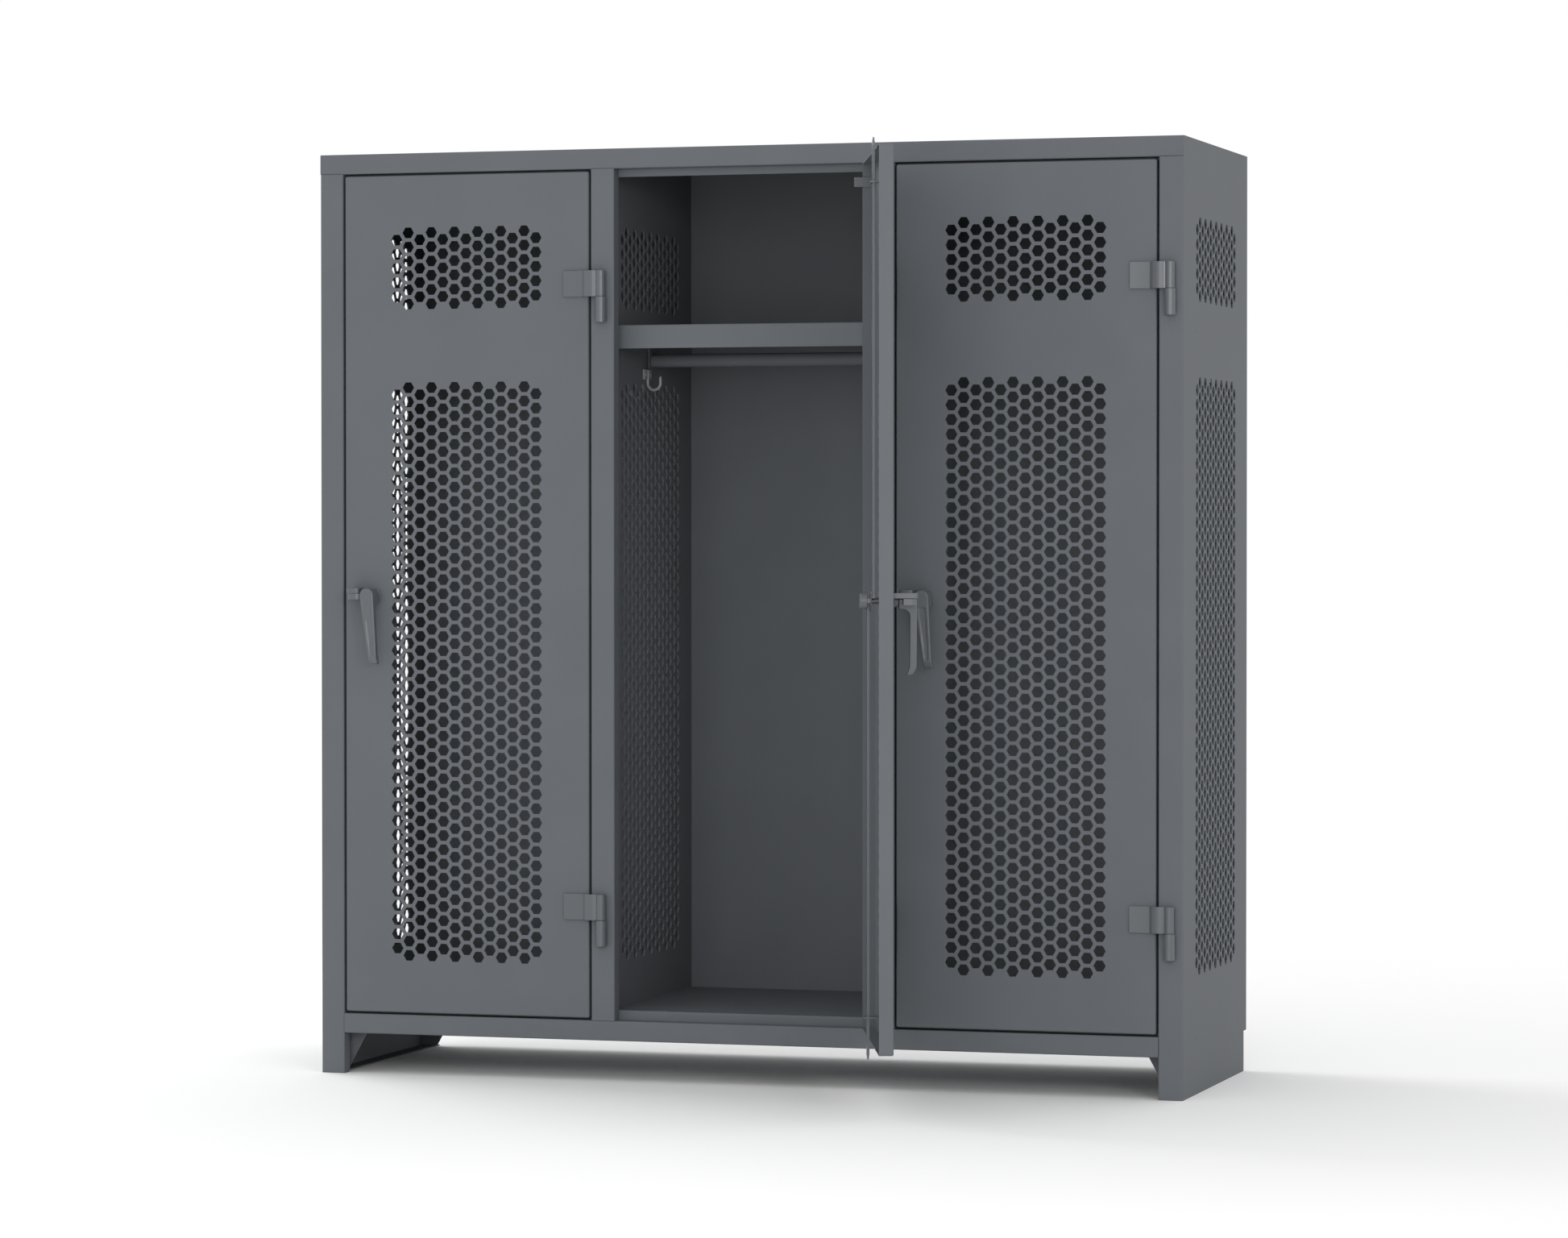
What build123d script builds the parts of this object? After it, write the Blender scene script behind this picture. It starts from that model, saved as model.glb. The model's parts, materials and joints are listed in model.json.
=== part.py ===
from build123d import *
import math
import os

# A welded three-bay locker with vented doors. All lengths are in millimetres.
# X runs to the right, Y to the back and Z up. The origin is on the floor, in the middle of the anchor holes.

# Overall size and sheet
WIDTH = 1828.8
HEIGHT = 1905.0
DEPTH = 609.6
SHEET = 2.7
INSIDE_BEND = 0.6
OVERRUN = 5.0

# Sides of the plain round outlines that neither turn nor hold a fastener
ROUND_SIDES = 12
SMALL_ROUND_SIDES = 8

# Front frame
BAYS = ("left", "centre", "right")
STILE_WIDTH = 50.0
STILE_RETURN = 30.0
HEADER_HEIGHT = 41.0
HEADER_STRIP = 15.4
RAIL_BOTTOM = 84.0
RAIL_HEIGHT = 41.0
RAIL_RETURN = 15.0
TOP_FLANGE = 25.0
TOP_FLANGE_INSET = 40.0

# Floor, back and feet
FLOOR_TOP = 144.5
FLOOR_LIP = 60.0
BACK_RECESS = 25.6
FOOT_FLANGE = 38.0
ANCHOR_RADIUS = 7.0
ANCHOR_INSET = 22.0
ANCHOR_SPACING_Y = 440.0
GUSSET_FRONT = 52.6
GUSSET_REAR_INSET = 12.0
GUSSET_TOP_WIDTH = 115.0

# Shelf, rod and hooks
SHELF_TOP = 1547.9
SHELF_LIP = 48.0
SHELF_FRONT = 60.0
ROD_RADIUS = 13.75
ROD_WALL = 2.0
ROD_HEIGHT = 1482.4
ROD_CLEARANCE = 0.15
BRACKET_WIDTH = 44.0
BRACKET_BOTTOM = 1465.0
BRACKET_OVERLAP = 30.0
HOOK_WIRE = 3.15
HOOK_BOWL = 13.95
HOOK_BOWL_SIDES = 6
HOOK_STAND_OFF = 0.3
HOOK_FORWARD = 28.0
HOOK_TOP = 1463.2
HOOK_PLATE_HEIGHT = 21.0
HOOK_PLATE_WIDTH = 44.0
HOOK_PLATE = 4.6
HOOK_DROP = 45.6
HOOK_TIP_RISE = 32.1
RIGHT_HOOK_DROP = 16.0

# Vents: a honeycomb of hexagons, flat at top and bottom, in coarse cells that fill the real outline
VENT_FLATS_SHARE = 0.75
DOOR_VENT_WIDTH = 330.2
SIDE_VENT_WIDTH = 381.0
DOOR_VENT_ROWS = 10
SIDE_VENT_ROWS = 8
LOWER_VENT_COLUMNS = 3
UPPER_VENT_ROWS = 2
UPPER_VENT_COLUMNS = 5
LOWER_VENT_CENTRE = 835.0
UPPER_VENT_CENTRE = 1667.5

# Doors
DOOR_GAP = 4.76
DOOR_DEPTH = 28.0
OPEN_BAY = "centre"
DOOR_OPEN_ANGLE = 109.5

# Hinges: a knuckle on the door over a barrel on the stile
HINGE_STAND_OFF = 10.0
PIN_RADIUS = 6.0
PIN_CLEARANCE = 0.05
PIN_RECESS = 1.0
KNUCKLE_RADIUS = 9.5
BARREL_RADIUS = 11.1
KNUCKLE_HEIGHT = 53.0
HINGE_GAP = 0.4
HINGE_RISE = 201.24
HINGE_DROP = 255.24
LEAF_THICKNESS = 4.8
LEAF_EDGE = 58.0
LEAF_JOG_EDGE = 17.0
LEAF_JOG_RUN = 7.0

# Lever handle, its base and the padlock hasp
SPINDLE_INSET = 64.0
SPINDLE_HEIGHT = 993.0
SPINDLE_RADIUS = 6.0
SPINDLE_CLEARANCE = 0.15
PAN_HOLE_CLEARANCE = 0.5
BASE_RADIUS = 16.5
BASE_FLANGE = 4.0
BASE_BOSS_RADIUS = 12.0
BASE_HEIGHT = 12.7
LEVER_CLEARANCE = 0.3
LEVER_REACH = 48.0
LEVER_THICKNESS = 13.4
LEVER_TOP_RADIUS = 15.0
LEVER_END_RADIUS = 8.5
LEVER_LENGTH = 142.0
LEVER_SLANT = 14.0
LEVER_HOOK = 6.0
LEVER_NECK_RADIUS = 16.0
LEVER_RECESS = 1.0
LEVER_SOCKET = 27.0
RECESS_TOP_RADIUS = 8.0
RECESS_END_RADIUS = 4.5
RECESS_TOP_DROP = 26.0
RECESS_END_RISE = 22.0
HASP_LEFT = 45.0
HASP_RIGHT = 17.0
HASP_UNDERSIDE = 5.0
HASP_THICKNESS = 10.0
HASP_CORNER = 5.0
TAB_GAP = 1.0
TAB_THICKNESS = 12.0
TAB_INNER = 20.0
PADLOCK_RADIUS = 5.0
PADLOCK_SIDE = 31.0
PADLOCK_OUT = 34.0

# Latch: a cam plate that draws two flat bolts
CAM_THICKNESS = 2.5
CAM_HUB_RADIUS = 13.0
CAM_EYE_RADIUS = 6.0
CAM_PIN_RADIUS = 3.0
CAM_PIN_CIRCLE = 21.0
CAM_PIN_ANGLE = 45.0
CAM_PIN_PROUD = 1.5
CAM_HEAD_RADIUS = 16.0
CAM_HEAD_LENGTH = 14.0
BOLT_THICKNESS = 5.0
BOLT_WIDTH = 20.5
BOLT_CLEARANCE = 0.3
BOLT_SLOT_CLEARANCE = 1.0
BOLT_END = 6.0
BOLT_TIP_LENGTH = 11.0
BOLT_TIP_LAND = 2.2
UPPER_BOLT_REACH = 9.5
LOWER_BOLT_REACH = 8.3
GUIDE_DROP = 69.24
GUIDE_RISE = 68.24
GUIDE_MARGIN = 5.0
GUIDE_FOOT = 20.0
GUIDE_CLEARANCE = 0.4
LUG_DROP = 47.24
LUG_HEIGHT = 19.0
LUG_THICKNESS = 3.0
LUG_PROUD = 17.0

# Places that follow from the sizes above
FRONT = -DEPTH / 2
REAR = DEPTH / 2
SIDE_INNER = WIDTH / 2 - SHEET
OPENING = (WIDTH - (len(BAYS) + 1) * STILE_WIDTH) / len(BAYS)
BAY_PITCH = OPENING + STILE_WIDTH
HEADER_BOTTOM = HEIGHT - HEADER_HEIGHT
STRIP_BOTTOM = HEADER_BOTTOM - HEADER_STRIP
RAIL_TOP = RAIL_BOTTOM + RAIL_HEIGHT
BACK_REAR = REAR - BACK_RECESS
BACK_FRONT = BACK_REAR - SHEET
ROOF = HEIGHT - SHEET
DOOR_WIDTH = OPENING - 2 * DOOR_GAP
DOOR_BOTTOM = RAIL_TOP + DOOR_GAP
DOOR_TOP = HEADER_BOTTOM - DOOR_GAP
HINGE_HEIGHTS = (DOOR_BOTTOM + HINGE_RISE, DOOR_TOP - HINGE_DROP)
GUIDE_HEIGHTS = (DOOR_TOP - GUIDE_DROP, DOOR_BOTTOM + GUIDE_RISE)
HINGE_X = OPENING + STILE_WIDTH / 2
SPINDLE_X = DOOR_GAP + SPINDLE_INSET
STRIP_FRONT = STILE_RETURN + INSIDE_BEND
STRIP_BACK = STRIP_FRONT + SHEET
UPPER_BOLT_Y = STRIP_BACK + BOLT_CLEARANCE
CAM_Y = UPPER_BOLT_Y + BOLT_THICKNESS + BOLT_CLEARANCE
LOWER_BOLT_Y = CAM_Y + CAM_THICKNESS + BOLT_CLEARANCE
CAM_HEAD_Y = LOWER_BOLT_Y + BOLT_THICKNESS + BOLT_CLEARANCE
PIN_OFFSET = CAM_PIN_CIRCLE * math.cos(math.radians(CAM_PIN_ANGLE))
BOLT_OFFSET = (CAM_PIN_CIRCLE + PIN_OFFSET) / 2
HUB_FACE = BASE_HEIGHT + LEVER_CLEARANCE


def span_block(x_span, y_span, z_span):
    """A block between a low and a high limit on each axis."""
    spans = (x_span, y_span, z_span)
    sizes = [high - low for low, high in spans]
    centres = [(low + high) / 2 for low, high in spans]
    return Pos(*centres) * Box(*sizes)


def path_steps(path):
    """Unit steps along a path of corners."""
    return [(Vector(*end) - Vector(*start)).normalized() for start, end in zip(path, path[1:])]


def left_line(path, thickness):
    """The line that runs beside a path, one thickness to its left."""
    steps = path_steps(path)
    line = []
    for index, point in enumerate(path):
        before = steps[max(index - 1, 0)]
        after = steps[min(index, len(steps) - 1)]
        normal = Vector(-before.Y, before.X) + Vector(-after.Y, after.X)
        line.append(Vector(*point) + normal * (thickness / (1 + before.dot(after))))
    return line


def folded(path, thickness=SHEET):
    """Section of a folded sheet with sharp bends and its metal on the path's left-hand side."""
    return make_face(Polyline(*path, *reversed(left_line(path, thickness)), close=True))


def bent_sheet(path):
    """Section of a folded sheet with each bend round on its outside."""
    steps = path_steps(path)
    left = left_line(path, SHEET)
    section = folded(path)
    for index in range(1, len(path) - 1):
        turns_left = steps[index - 1].cross(steps[index]).Z > 0
        corner = Vector(*path[index]) if turns_left else left[index]
        section = fillet(section.vertices().sort_by_distance(corner)[0], INSIDE_BEND + SHEET)
    return section


def tray(length, width, depth):
    """A folded tray. The outside of its web is on Z 0 and its flanges stand up from there."""
    low = (Align.CENTER, Align.CENTER, Align.MIN)
    outside = Box(length, width, depth, align=low)
    outside = fillet(outside.faces().sort_by(Axis.Z)[0].edges(), INSIDE_BEND + SHEET)
    inside = Box(length - 2 * SHEET, width - 2 * SHEET, depth, align=low)
    return outside - Pos(0, 0, SHEET) * inside


def honeycomb(width, columns, long_rows, thickness):
    """Hexagonal punches around the origin. The first and last columns are the short ones."""
    column_pitch = width / columns
    row_pitch = column_pitch * 2 / math.sqrt(3)
    flats = row_pitch * VENT_FLATS_SHARE
    punch = extrude(RegularPolygon(flats / math.sqrt(3), 6), amount=thickness / 2, both=True)
    punches = []
    for column in range(columns):
        rows = long_rows - 1 if column % 2 == 0 else long_rows
        x = (column - (columns - 1) / 2) * column_pitch
        punches += [Pos(x, (row - (rows - 1) / 2) * row_pitch, 0) * punch for row in range(rows)]
    return punches


def vent_punches(plane_at, width, lower_rows):
    """The punches of the tall lower vent and the short upper vent of one sheet."""
    thickness = 2 * (SHEET + OVERRUN)
    lower = honeycomb(width, LOWER_VENT_COLUMNS, lower_rows, thickness)
    upper = honeycomb(width, UPPER_VENT_COLUMNS, UPPER_VENT_ROWS, thickness)
    return [plane_at(LOWER_VENT_CENTRE) * punch for punch in lower] + [
        plane_at(UPPER_VENT_CENTRE) * punch for punch in upper
    ]


def opening_left(bay):
    """X of the left-hand edge of a bay's door opening."""
    return -WIDTH / 2 + STILE_WIDTH + BAYS.index(bay) * BAY_PITCH


def divider_x(index):
    """X of the middle of a divider, which stands on the middle of its stile."""
    return -WIDTH / 2 + (index + 1) * BAY_PITCH + STILE_WIDTH / 2


def bay_walls(bay):
    """X of the two wall faces that a bay lies between."""
    index = BAYS.index(bay)
    left = -SIDE_INNER if index == 0 else divider_x(index - 1) + SHEET / 2
    right = SIDE_INNER if index == len(BAYS) - 1 else divider_x(index) - SHEET / 2
    return left, right


def side_vents(x):
    """Punches through a wall that stands at this X."""

    def plane_at(height):
        return Plane(origin=(x, 0, height), x_dir=(0, 1, 0), z_dir=(1, 0, 0))

    return vent_punches(plane_at, SIDE_VENT_WIDTH, SIDE_VENT_ROWS)


def left_side_panel():
    """End stile, return, side sheet and foot flange, folded from one sheet."""
    left = -WIDTH / 2
    path = [
        (left, REAR),
        (left, FRONT),
        (left + STILE_WIDTH, FRONT),
        (left + STILE_WIDTH, FRONT + STILE_RETURN),
    ]
    panel = extrude(bent_sheet(path), amount=HEADER_BOTTOM)
    behind_header = (FRONT + SHEET, REAR)
    panel += span_block((left, left + SHEET), behind_header, (HEADER_BOTTOM, HEIGHT))
    panel += span_block((left, left + FOOT_FLANGE), (FRONT + SHEET, BACK_REAR), (0, SHEET))
    panel -= span_block(
        (left - OVERRUN, left + FOOT_FLANGE), (BACK_REAR, REAR + OVERRUN), (-OVERRUN, RAIL_BOTTOM)
    )
    for side in (-1, 1):
        hole = Cylinder(ANCHOR_RADIUS, 2 * (SHEET + OVERRUN))
        panel -= Pos(left + ANCHOR_INSET, side * ANCHOR_SPACING_Y / 2, 0) * hole
    return panel - side_vents(left)


def divider(index):
    """Vented wall between two bays, notched at its front top corner for the header."""
    x = divider_x(index)
    x_span = (x - SHEET / 2, x + SHEET / 2)
    wall = span_block(x_span, (FRONT + SHEET, BACK_FRONT), (FLOOR_TOP, ROOF))
    wall -= span_block(
        (x - OVERRUN, x + OVERRUN),
        (FRONT - OVERRUN, FRONT + STRIP_BACK),
        (STRIP_BOTTOM, HEIGHT + OVERRUN),
    )
    return wall - side_vents(x)


def divider_stile(index):
    """Channel that covers a divider's front edge."""
    left = divider_x(index) - STILE_WIDTH / 2
    right = left + STILE_WIDTH
    back = FRONT + STILE_RETURN
    section = bent_sheet([(left, back), (left, FRONT), (right, FRONT), (right, back)])
    return Pos(0, 0, RAIL_TOP) * extrude(section, amount=HEADER_BOTTOM - RAIL_TOP)


def top_panel():
    """Roof sheet with the header, the door stop strip and its side flanges."""
    path = [
        (REAR, HEIGHT),
        (FRONT, HEIGHT),
        (FRONT, HEADER_BOTTOM),
        (FRONT + STRIP_FRONT, HEADER_BOTTOM),
        (FRONT + STRIP_FRONT, STRIP_BOTTOM),
    ]
    panel = extrude(Plane.YZ * bent_sheet(path), amount=WIDTH / 2, both=True)
    for side in (-1, 1):
        outside = sorted((side * SIDE_INNER, side * (WIDTH / 2 + OVERRUN)))
        inside = sorted((side * SIDE_INNER, side * (SIDE_INNER - SHEET)))
        panel -= span_block(outside, (FRONT + SHEET, REAR + OVERRUN), (0, HEIGHT + OVERRUN))
        flange_y = (FRONT + TOP_FLANGE_INSET, BACK_FRONT)
        panel += span_block(inside, flange_y, (HEIGHT - TOP_FLANGE, ROOF))
    return panel


def bottom_rail():
    """Folded rail between the two end stiles."""
    path = [
        (FRONT + STILE_RETURN, RAIL_TOP),
        (FRONT, RAIL_TOP),
        (FRONT, RAIL_BOTTOM),
        (FRONT + RAIL_RETURN, RAIL_BOTTOM),
    ]
    half = WIDTH / 2 - STILE_WIDTH
    return extrude(Plane.YZ * bent_sheet(path), amount=half, both=True)


def floor_panel():
    """Floor tray, turned lip down, with a slot for each door's lower bolt."""
    front = FRONT + STILE_RETURN
    middle = (front + BACK_FRONT) / 2
    floor = Pos(0, middle, FLOOR_TOP) * Rot(180, 0, 0) * tray(2 * SIDE_INNER, BACK_FRONT - front, FLOOR_LIP)
    margin = GUIDE_CLEARANCE + BOLT_SLOT_CLEARANCE
    for bay in BAYS:
        x = opening_left(bay) + SPINDLE_X + BOLT_OFFSET
        y = FRONT + LOWER_BOLT_Y
        floor -= span_block(
            (x - BOLT_WIDTH / 2 - margin, x + BOLT_WIDTH / 2 + margin),
            (y - margin, y + BOLT_THICKNESS + margin),
            (FLOOR_TOP - SHEET - OVERRUN, FLOOR_TOP + OVERRUN),
        )
    return floor


def back_panel():
    """Back tray, recessed, with its flanges turned to the rear."""
    bottom = RAIL_BOTTOM
    height = ROOF - bottom
    face = Plane(origin=(0, BACK_FRONT, bottom + height / 2), x_dir=(1, 0, 0), z_dir=(0, 1, 0))
    return face * tray(2 * SIDE_INNER, height, BACK_RECESS + SHEET)


def foot_gussets():
    """Four stiffeners between the side panels, their foot flanges and the floor."""
    lip_bottom = FLOOR_TOP - FLOOR_LIP
    floor_under = FLOOR_TOP - SHEET
    outline = [
        (-SIDE_INNER, SHEET),
        (-WIDTH / 2 + FOOT_FLANGE, SHEET),
        (-WIDTH / 2 + GUSSET_TOP_WIDTH, floor_under),
        (-SIDE_INNER + SHEET + INSIDE_BEND, floor_under),
        (-SIDE_INNER + SHEET, floor_under - INSIDE_BEND),
        (-SIDE_INNER + SHEET, lip_bottom),
        (-SIDE_INNER, lip_bottom),
    ]
    plate = extrude(Plane.XZ * make_face(Polyline(*outline, close=True)), amount=SHEET / 2, both=True)
    gussets = []
    for y in (FRONT + GUSSET_FRONT, BACK_REAR - GUSSET_REAR_INSET):
        left = Pos(0, y, 0) * plate
        gussets += [left, mirror(left, about=Plane.YZ)]
    return gussets


def shelf(bay):
    """Full-depth shelf tray with its lips turned down."""
    left, right = bay_walls(bay)
    front = FRONT + SHELF_FRONT
    place = Pos((left + right) / 2, (front + BACK_FRONT) / 2, SHELF_TOP) * Rot(180, 0, 0)
    return place * tray(right - left, BACK_FRONT - front, SHELF_LIP)


def hanging_rod(bay):
    """Tube from wall to wall under the shelf."""
    left, right = bay_walls(bay)
    ring = RegularPolygon(ROD_RADIUS, ROUND_SIDES) - RegularPolygon(ROD_RADIUS - ROD_WALL, ROUND_SIDES)
    tube = extrude(Plane.YZ * ring, amount=(right - left) / 2 - ROD_CLEARANCE, both=True)
    return Pos((left + right) / 2, 0, ROD_HEIGHT) * tube


def rod_brackets():
    """Six plates on the inside of the shelf lips, which carry the rods."""
    top = SHELF_TOP - SHELF_LIP + BRACKET_OVERLAP
    half = BRACKET_WIDTH / 2
    outline = Plane.YZ * RegularPolygon(ROD_RADIUS + ROD_CLEARANCE, ROUND_SIDES)
    hole = Pos(0, 0, ROD_HEIGHT) * extrude(outline, amount=OVERRUN, both=True)
    plates = []
    for bay in BAYS:
        left, right = bay_walls(bay)
        for start in (left + SHEET, right - 2 * SHEET):
            plate = span_block((start, start + SHEET), (-half, half), (BRACKET_BOTTOM, top))
            plates.append(plate - Pos(start, 0, 0) * hole)
    return plates


def coat_hook():
    """Wire hook on a base plate, for a wall on X 0 with the hook on its +X side."""
    stem_x = HOOK_WIRE + HOOK_STAND_OFF
    bottom = HOOK_TOP - HOOK_DROP
    low = bottom + HOOK_WIRE + HOOK_BOWL
    points = [(stem_x, 0, HOOK_TOP)]
    for side in range(HOOK_BOWL_SIDES + 1):
        angle = math.pi * (1 + side / HOOK_BOWL_SIDES)
        x = stem_x + HOOK_BOWL * (1 + math.cos(angle))
        points.append((x, 0, low + HOOK_BOWL * math.sin(angle)))
    points.append((stem_x + 2 * HOOK_BOWL, 0, bottom + HOOK_TIP_RISE))
    start = Plane(origin=points[0], x_dir=(0, 1, 0), z_dir=(0, 0, -1))
    ring = start * RegularPolygon(HOOK_WIRE, SMALL_ROUND_SIDES)
    wire = sweep(ring, path=Polyline(*points), transition=Transition.RIGHT)
    half = HOOK_PLATE_WIDTH / 2
    plate = span_block((0, HOOK_PLATE), (-half, half), (HOOK_TOP - HOOK_PLATE_HEIGHT, HOOK_TOP))
    return Pos(0, -HOOK_FORWARD, 0) * (wire + plate)


def coat_hooks():
    """One hook on each wall face of each bay, the right-hand ones a little lower."""
    hook = coat_hook()
    hooks = []
    for bay in BAYS:
        left, right = bay_walls(bay)
        hooks.append(Pos(left, 0, 0) * hook)
        hooks.append(Pos(right, 0, -RIGHT_HOOK_DROP) * mirror(hook, about=Plane.YZ))
    return hooks


def hinge_place(bay):
    """Location that carries the door's own frame to the bay, turned by the door's rest angle."""
    hinge = Pos(opening_left(bay) + HINGE_X, FRONT - HINGE_STAND_OFF, 0)
    angle = DOOR_OPEN_ANGLE if bay == OPEN_BAY else 0
    return hinge * Rot(0, 0, angle) * Pos(-HINGE_X, HINGE_STAND_OFF, 0)


def hinge_barrels():
    """Barrels welded to the stiles, flat where they meet the stile face."""
    barrels = []
    for bay in BAYS:
        x = opening_left(bay) + HINGE_X
        for height in HINGE_HEIGHTS:
            ring = RegularPolygon(BARREL_RADIUS, ROUND_SIDES) - Circle(PIN_RADIUS + PIN_CLEARANCE)
            barrel = extrude(ring, amount=KNUCKLE_HEIGHT - HINGE_GAP)
            barrel = Pos(x, FRONT - HINGE_STAND_OFF, height - KNUCKLE_HEIGHT) * barrel
            reach = BARREL_RADIUS + OVERRUN
            barrels.append(
                barrel - span_block((x - reach, x + reach), (FRONT, FRONT + reach), (0, HEIGHT))
            )
    return barrels


def hinge_pins():
    """Pins that stand in the barrels and reach up into the door knuckles."""
    length = 2 * KNUCKLE_HEIGHT - 2 * PIN_RECESS
    pins = []
    for bay in BAYS:
        x = opening_left(bay) + HINGE_X
        for height in HINGE_HEIGHTS:
            pins.append(Pos(x, FRONT - HINGE_STAND_OFF, height) * Cylinder(PIN_RADIUS, length))
    return pins


# The door's pieces are drawn closed: X from the opening's left-hand edge, Y from the locker's face.


def door_panel():
    """Door tray with its two vents and the spindle hole."""
    height = DOOR_TOP - DOOR_BOTTOM
    middle = DOOR_BOTTOM + height / 2
    face = Plane(origin=(OPENING / 2, 0, middle), x_dir=(1, 0, 0), z_dir=(0, 1, 0))
    panel = face * tray(DOOR_WIDTH, height, DOOR_DEPTH)

    def plane_at(level):
        return Plane(origin=(OPENING / 2, 0, level), x_dir=(1, 0, 0), z_dir=(0, 1, 0))

    panel -= vent_punches(plane_at, DOOR_VENT_WIDTH, DOOR_VENT_ROWS)
    hole = RegularPolygon(SPINDLE_RADIUS + PAN_HOLE_CLEARANCE, ROUND_SIDES, major_radius=False)
    return panel - at_spindle(stretch(hole, -SHEET - OVERRUN, OVERRUN))


def hinge_leaves():
    """Two leaves that lie on the door, step out and end in a knuckle."""
    strap_front = -HINGE_STAND_OFF - LEAF_THICKNESS / 2
    jog_start = OPENING - LEAF_JOG_EDGE
    path = [
        (OPENING - LEAF_EDGE, -LEAF_THICKNESS),
        (jog_start, -LEAF_THICKNESS),
        (jog_start + LEAF_JOG_RUN, strap_front),
        (HINGE_X, strap_front),
    ]
    section = folded(path, LEAF_THICKNESS)
    section += Pos(HINGE_X, -HINGE_STAND_OFF, 0) * RegularPolygon(KNUCKLE_RADIUS, ROUND_SIDES)
    section -= Pos(HINGE_X, -HINGE_STAND_OFF, 0) * Circle(PIN_RADIUS + PIN_CLEARANCE)
    leaf = extrude(section, amount=KNUCKLE_HEIGHT)
    return [Pos(0, 0, height) * leaf for height in HINGE_HEIGHTS]


def at_spindle(shape):
    """Moves a shape drawn in X and Z around the spindle to its place on the door."""
    return Pos(SPINDLE_X, 0, SPINDLE_HEIGHT) * shape


def stretch(profile, near, far):
    """A profile in X and Z, drawn out between two distances in front of the door's face."""
    return Pos(0, -near, 0) * extrude(Plane.XZ * profile, amount=far - near)


def spindle_square():
    """Square that just fits inside the spindle's round outline."""
    side = SPINDLE_RADIUS * math.sqrt(2)
    return Rectangle(side, side)


def handle_base():
    """Round base on the door with the bearing boss of the spindle."""
    base = stretch(RegularPolygon(BASE_RADIUS, ROUND_SIDES), 0, BASE_FLANGE)
    base += stretch(RegularPolygon(BASE_BOSS_RADIUS, ROUND_SIDES), 0, BASE_HEIGHT)
    base -= stretch(Circle(SPINDLE_RADIUS + SPINDLE_CLEARANCE), -OVERRUN, BASE_HEIGHT + OVERRUN)
    return at_spindle(base)


def eye_plate(inner, left, right, bottom, thickness):
    """Level plate with two cut outer corners and the padlock hole."""
    width = right - left
    plate = Pos((left + right) / 2, -(inner + LEVER_REACH) / 2, bottom) * extrude(
        Rectangle(width, LEVER_REACH - inner), amount=thickness
    )
    outer = plate.edges().filter_by(Axis.Z).sort_by(Axis.Y)[:2]
    plate = chamfer(outer, HASP_CORNER)
    return plate - Pos(-PADLOCK_SIDE, -PADLOCK_OUT, 0) * Cylinder(PADLOCK_RADIUS, HASP_LEFT)


def padlock_hasp():
    """Fixed hasp plate that stands out of the door beside the lever."""
    return at_spindle(eye_plate(0, -HASP_LEFT, -HASP_RIGHT, HASP_UNDERSIDE, HASP_THICKNESS))


def lever():
    """Tapered lever with a hooked end, a hub on the spindle and a padlock tab."""
    end_drop = LEVER_LENGTH - LEVER_END_RADIUS
    top = RegularPolygon(LEVER_TOP_RADIUS, ROUND_SIDES)
    end = Pos(LEVER_SLANT, -end_drop) * RegularPolygon(LEVER_END_RADIUS, SMALL_ROUND_SIDES)
    outline = make_hull(top.edges() + end.edges())
    grip = stretch(outline, HUB_FACE, LEVER_REACH)
    back = LEVER_REACH - LEVER_THICKNESS
    hook_top = LEVER_LENGTH - 2 * LEVER_END_RADIUS
    side = Polyline(
        (-HUB_FACE, LEVER_TOP_RADIUS),
        (-HUB_FACE, -LEVER_TOP_RADIUS),
        (-back, -LEVER_TOP_RADIUS),
        (-back, -hook_top),
        (-back + LEVER_HOOK, -LEVER_LENGTH),
        (-LEVER_REACH + LEVER_HOOK, -LEVER_LENGTH),
        (-LEVER_REACH, -hook_top),
        (-LEVER_REACH, LEVER_TOP_RADIUS),
        close=True,
    )
    profile = make_face(side)
    neck = profile.vertices().sort_by_distance(Vector(-back, -LEVER_TOP_RADIUS))[0]
    profile = fillet(neck, LEVER_NECK_RADIUS)
    heel = profile.vertices().sort_by_distance(Vector(-LEVER_REACH, -hook_top))[0]
    profile = fillet(heel, LEVER_END_RADIUS)
    bend = profile.vertices().sort_by_distance(Vector(-back, -hook_top))[0]
    profile = fillet(bend, LEVER_END_RADIUS)
    grip &= extrude(Plane.YZ * profile, amount=LEVER_REACH, both=True)
    recess_edges = ShapeList()
    recess_drop = LEVER_LENGTH - RECESS_END_RISE
    for drop, radius in ((RECESS_TOP_DROP, RECESS_TOP_RADIUS), (recess_drop, RECESS_END_RADIUS)):
        place = Pos(LEVER_SLANT * drop / end_drop, -drop)
        recess_edges += (place * RegularPolygon(radius, SMALL_ROUND_SIDES)).edges()
    recess = make_hull(recess_edges)
    grip -= stretch(recess, LEVER_REACH - LEVER_RECESS, LEVER_REACH + OVERRUN)
    tab_top = HASP_UNDERSIDE - TAB_GAP
    grip += eye_plate(TAB_INNER, -HASP_LEFT, 0, tab_top - TAB_THICKNESS, TAB_THICKNESS)
    grip -= stretch(spindle_square(), HUB_FACE - OVERRUN, HUB_FACE + LEVER_SOCKET)
    return at_spindle(grip)


def spindle():
    """Shaft through the door, with square ends in the lever's socket and in the cam and its head."""
    shaft = stretch(Circle(SPINDLE_RADIUS), -CAM_Y, HUB_FACE)
    shaft += stretch(spindle_square(), HUB_FACE, HUB_FACE + LEVER_SOCKET)
    shaft += stretch(spindle_square(), -CAM_HEAD_Y - CAM_HEAD_LENGTH, -CAM_Y)
    return at_spindle(shaft)


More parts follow.
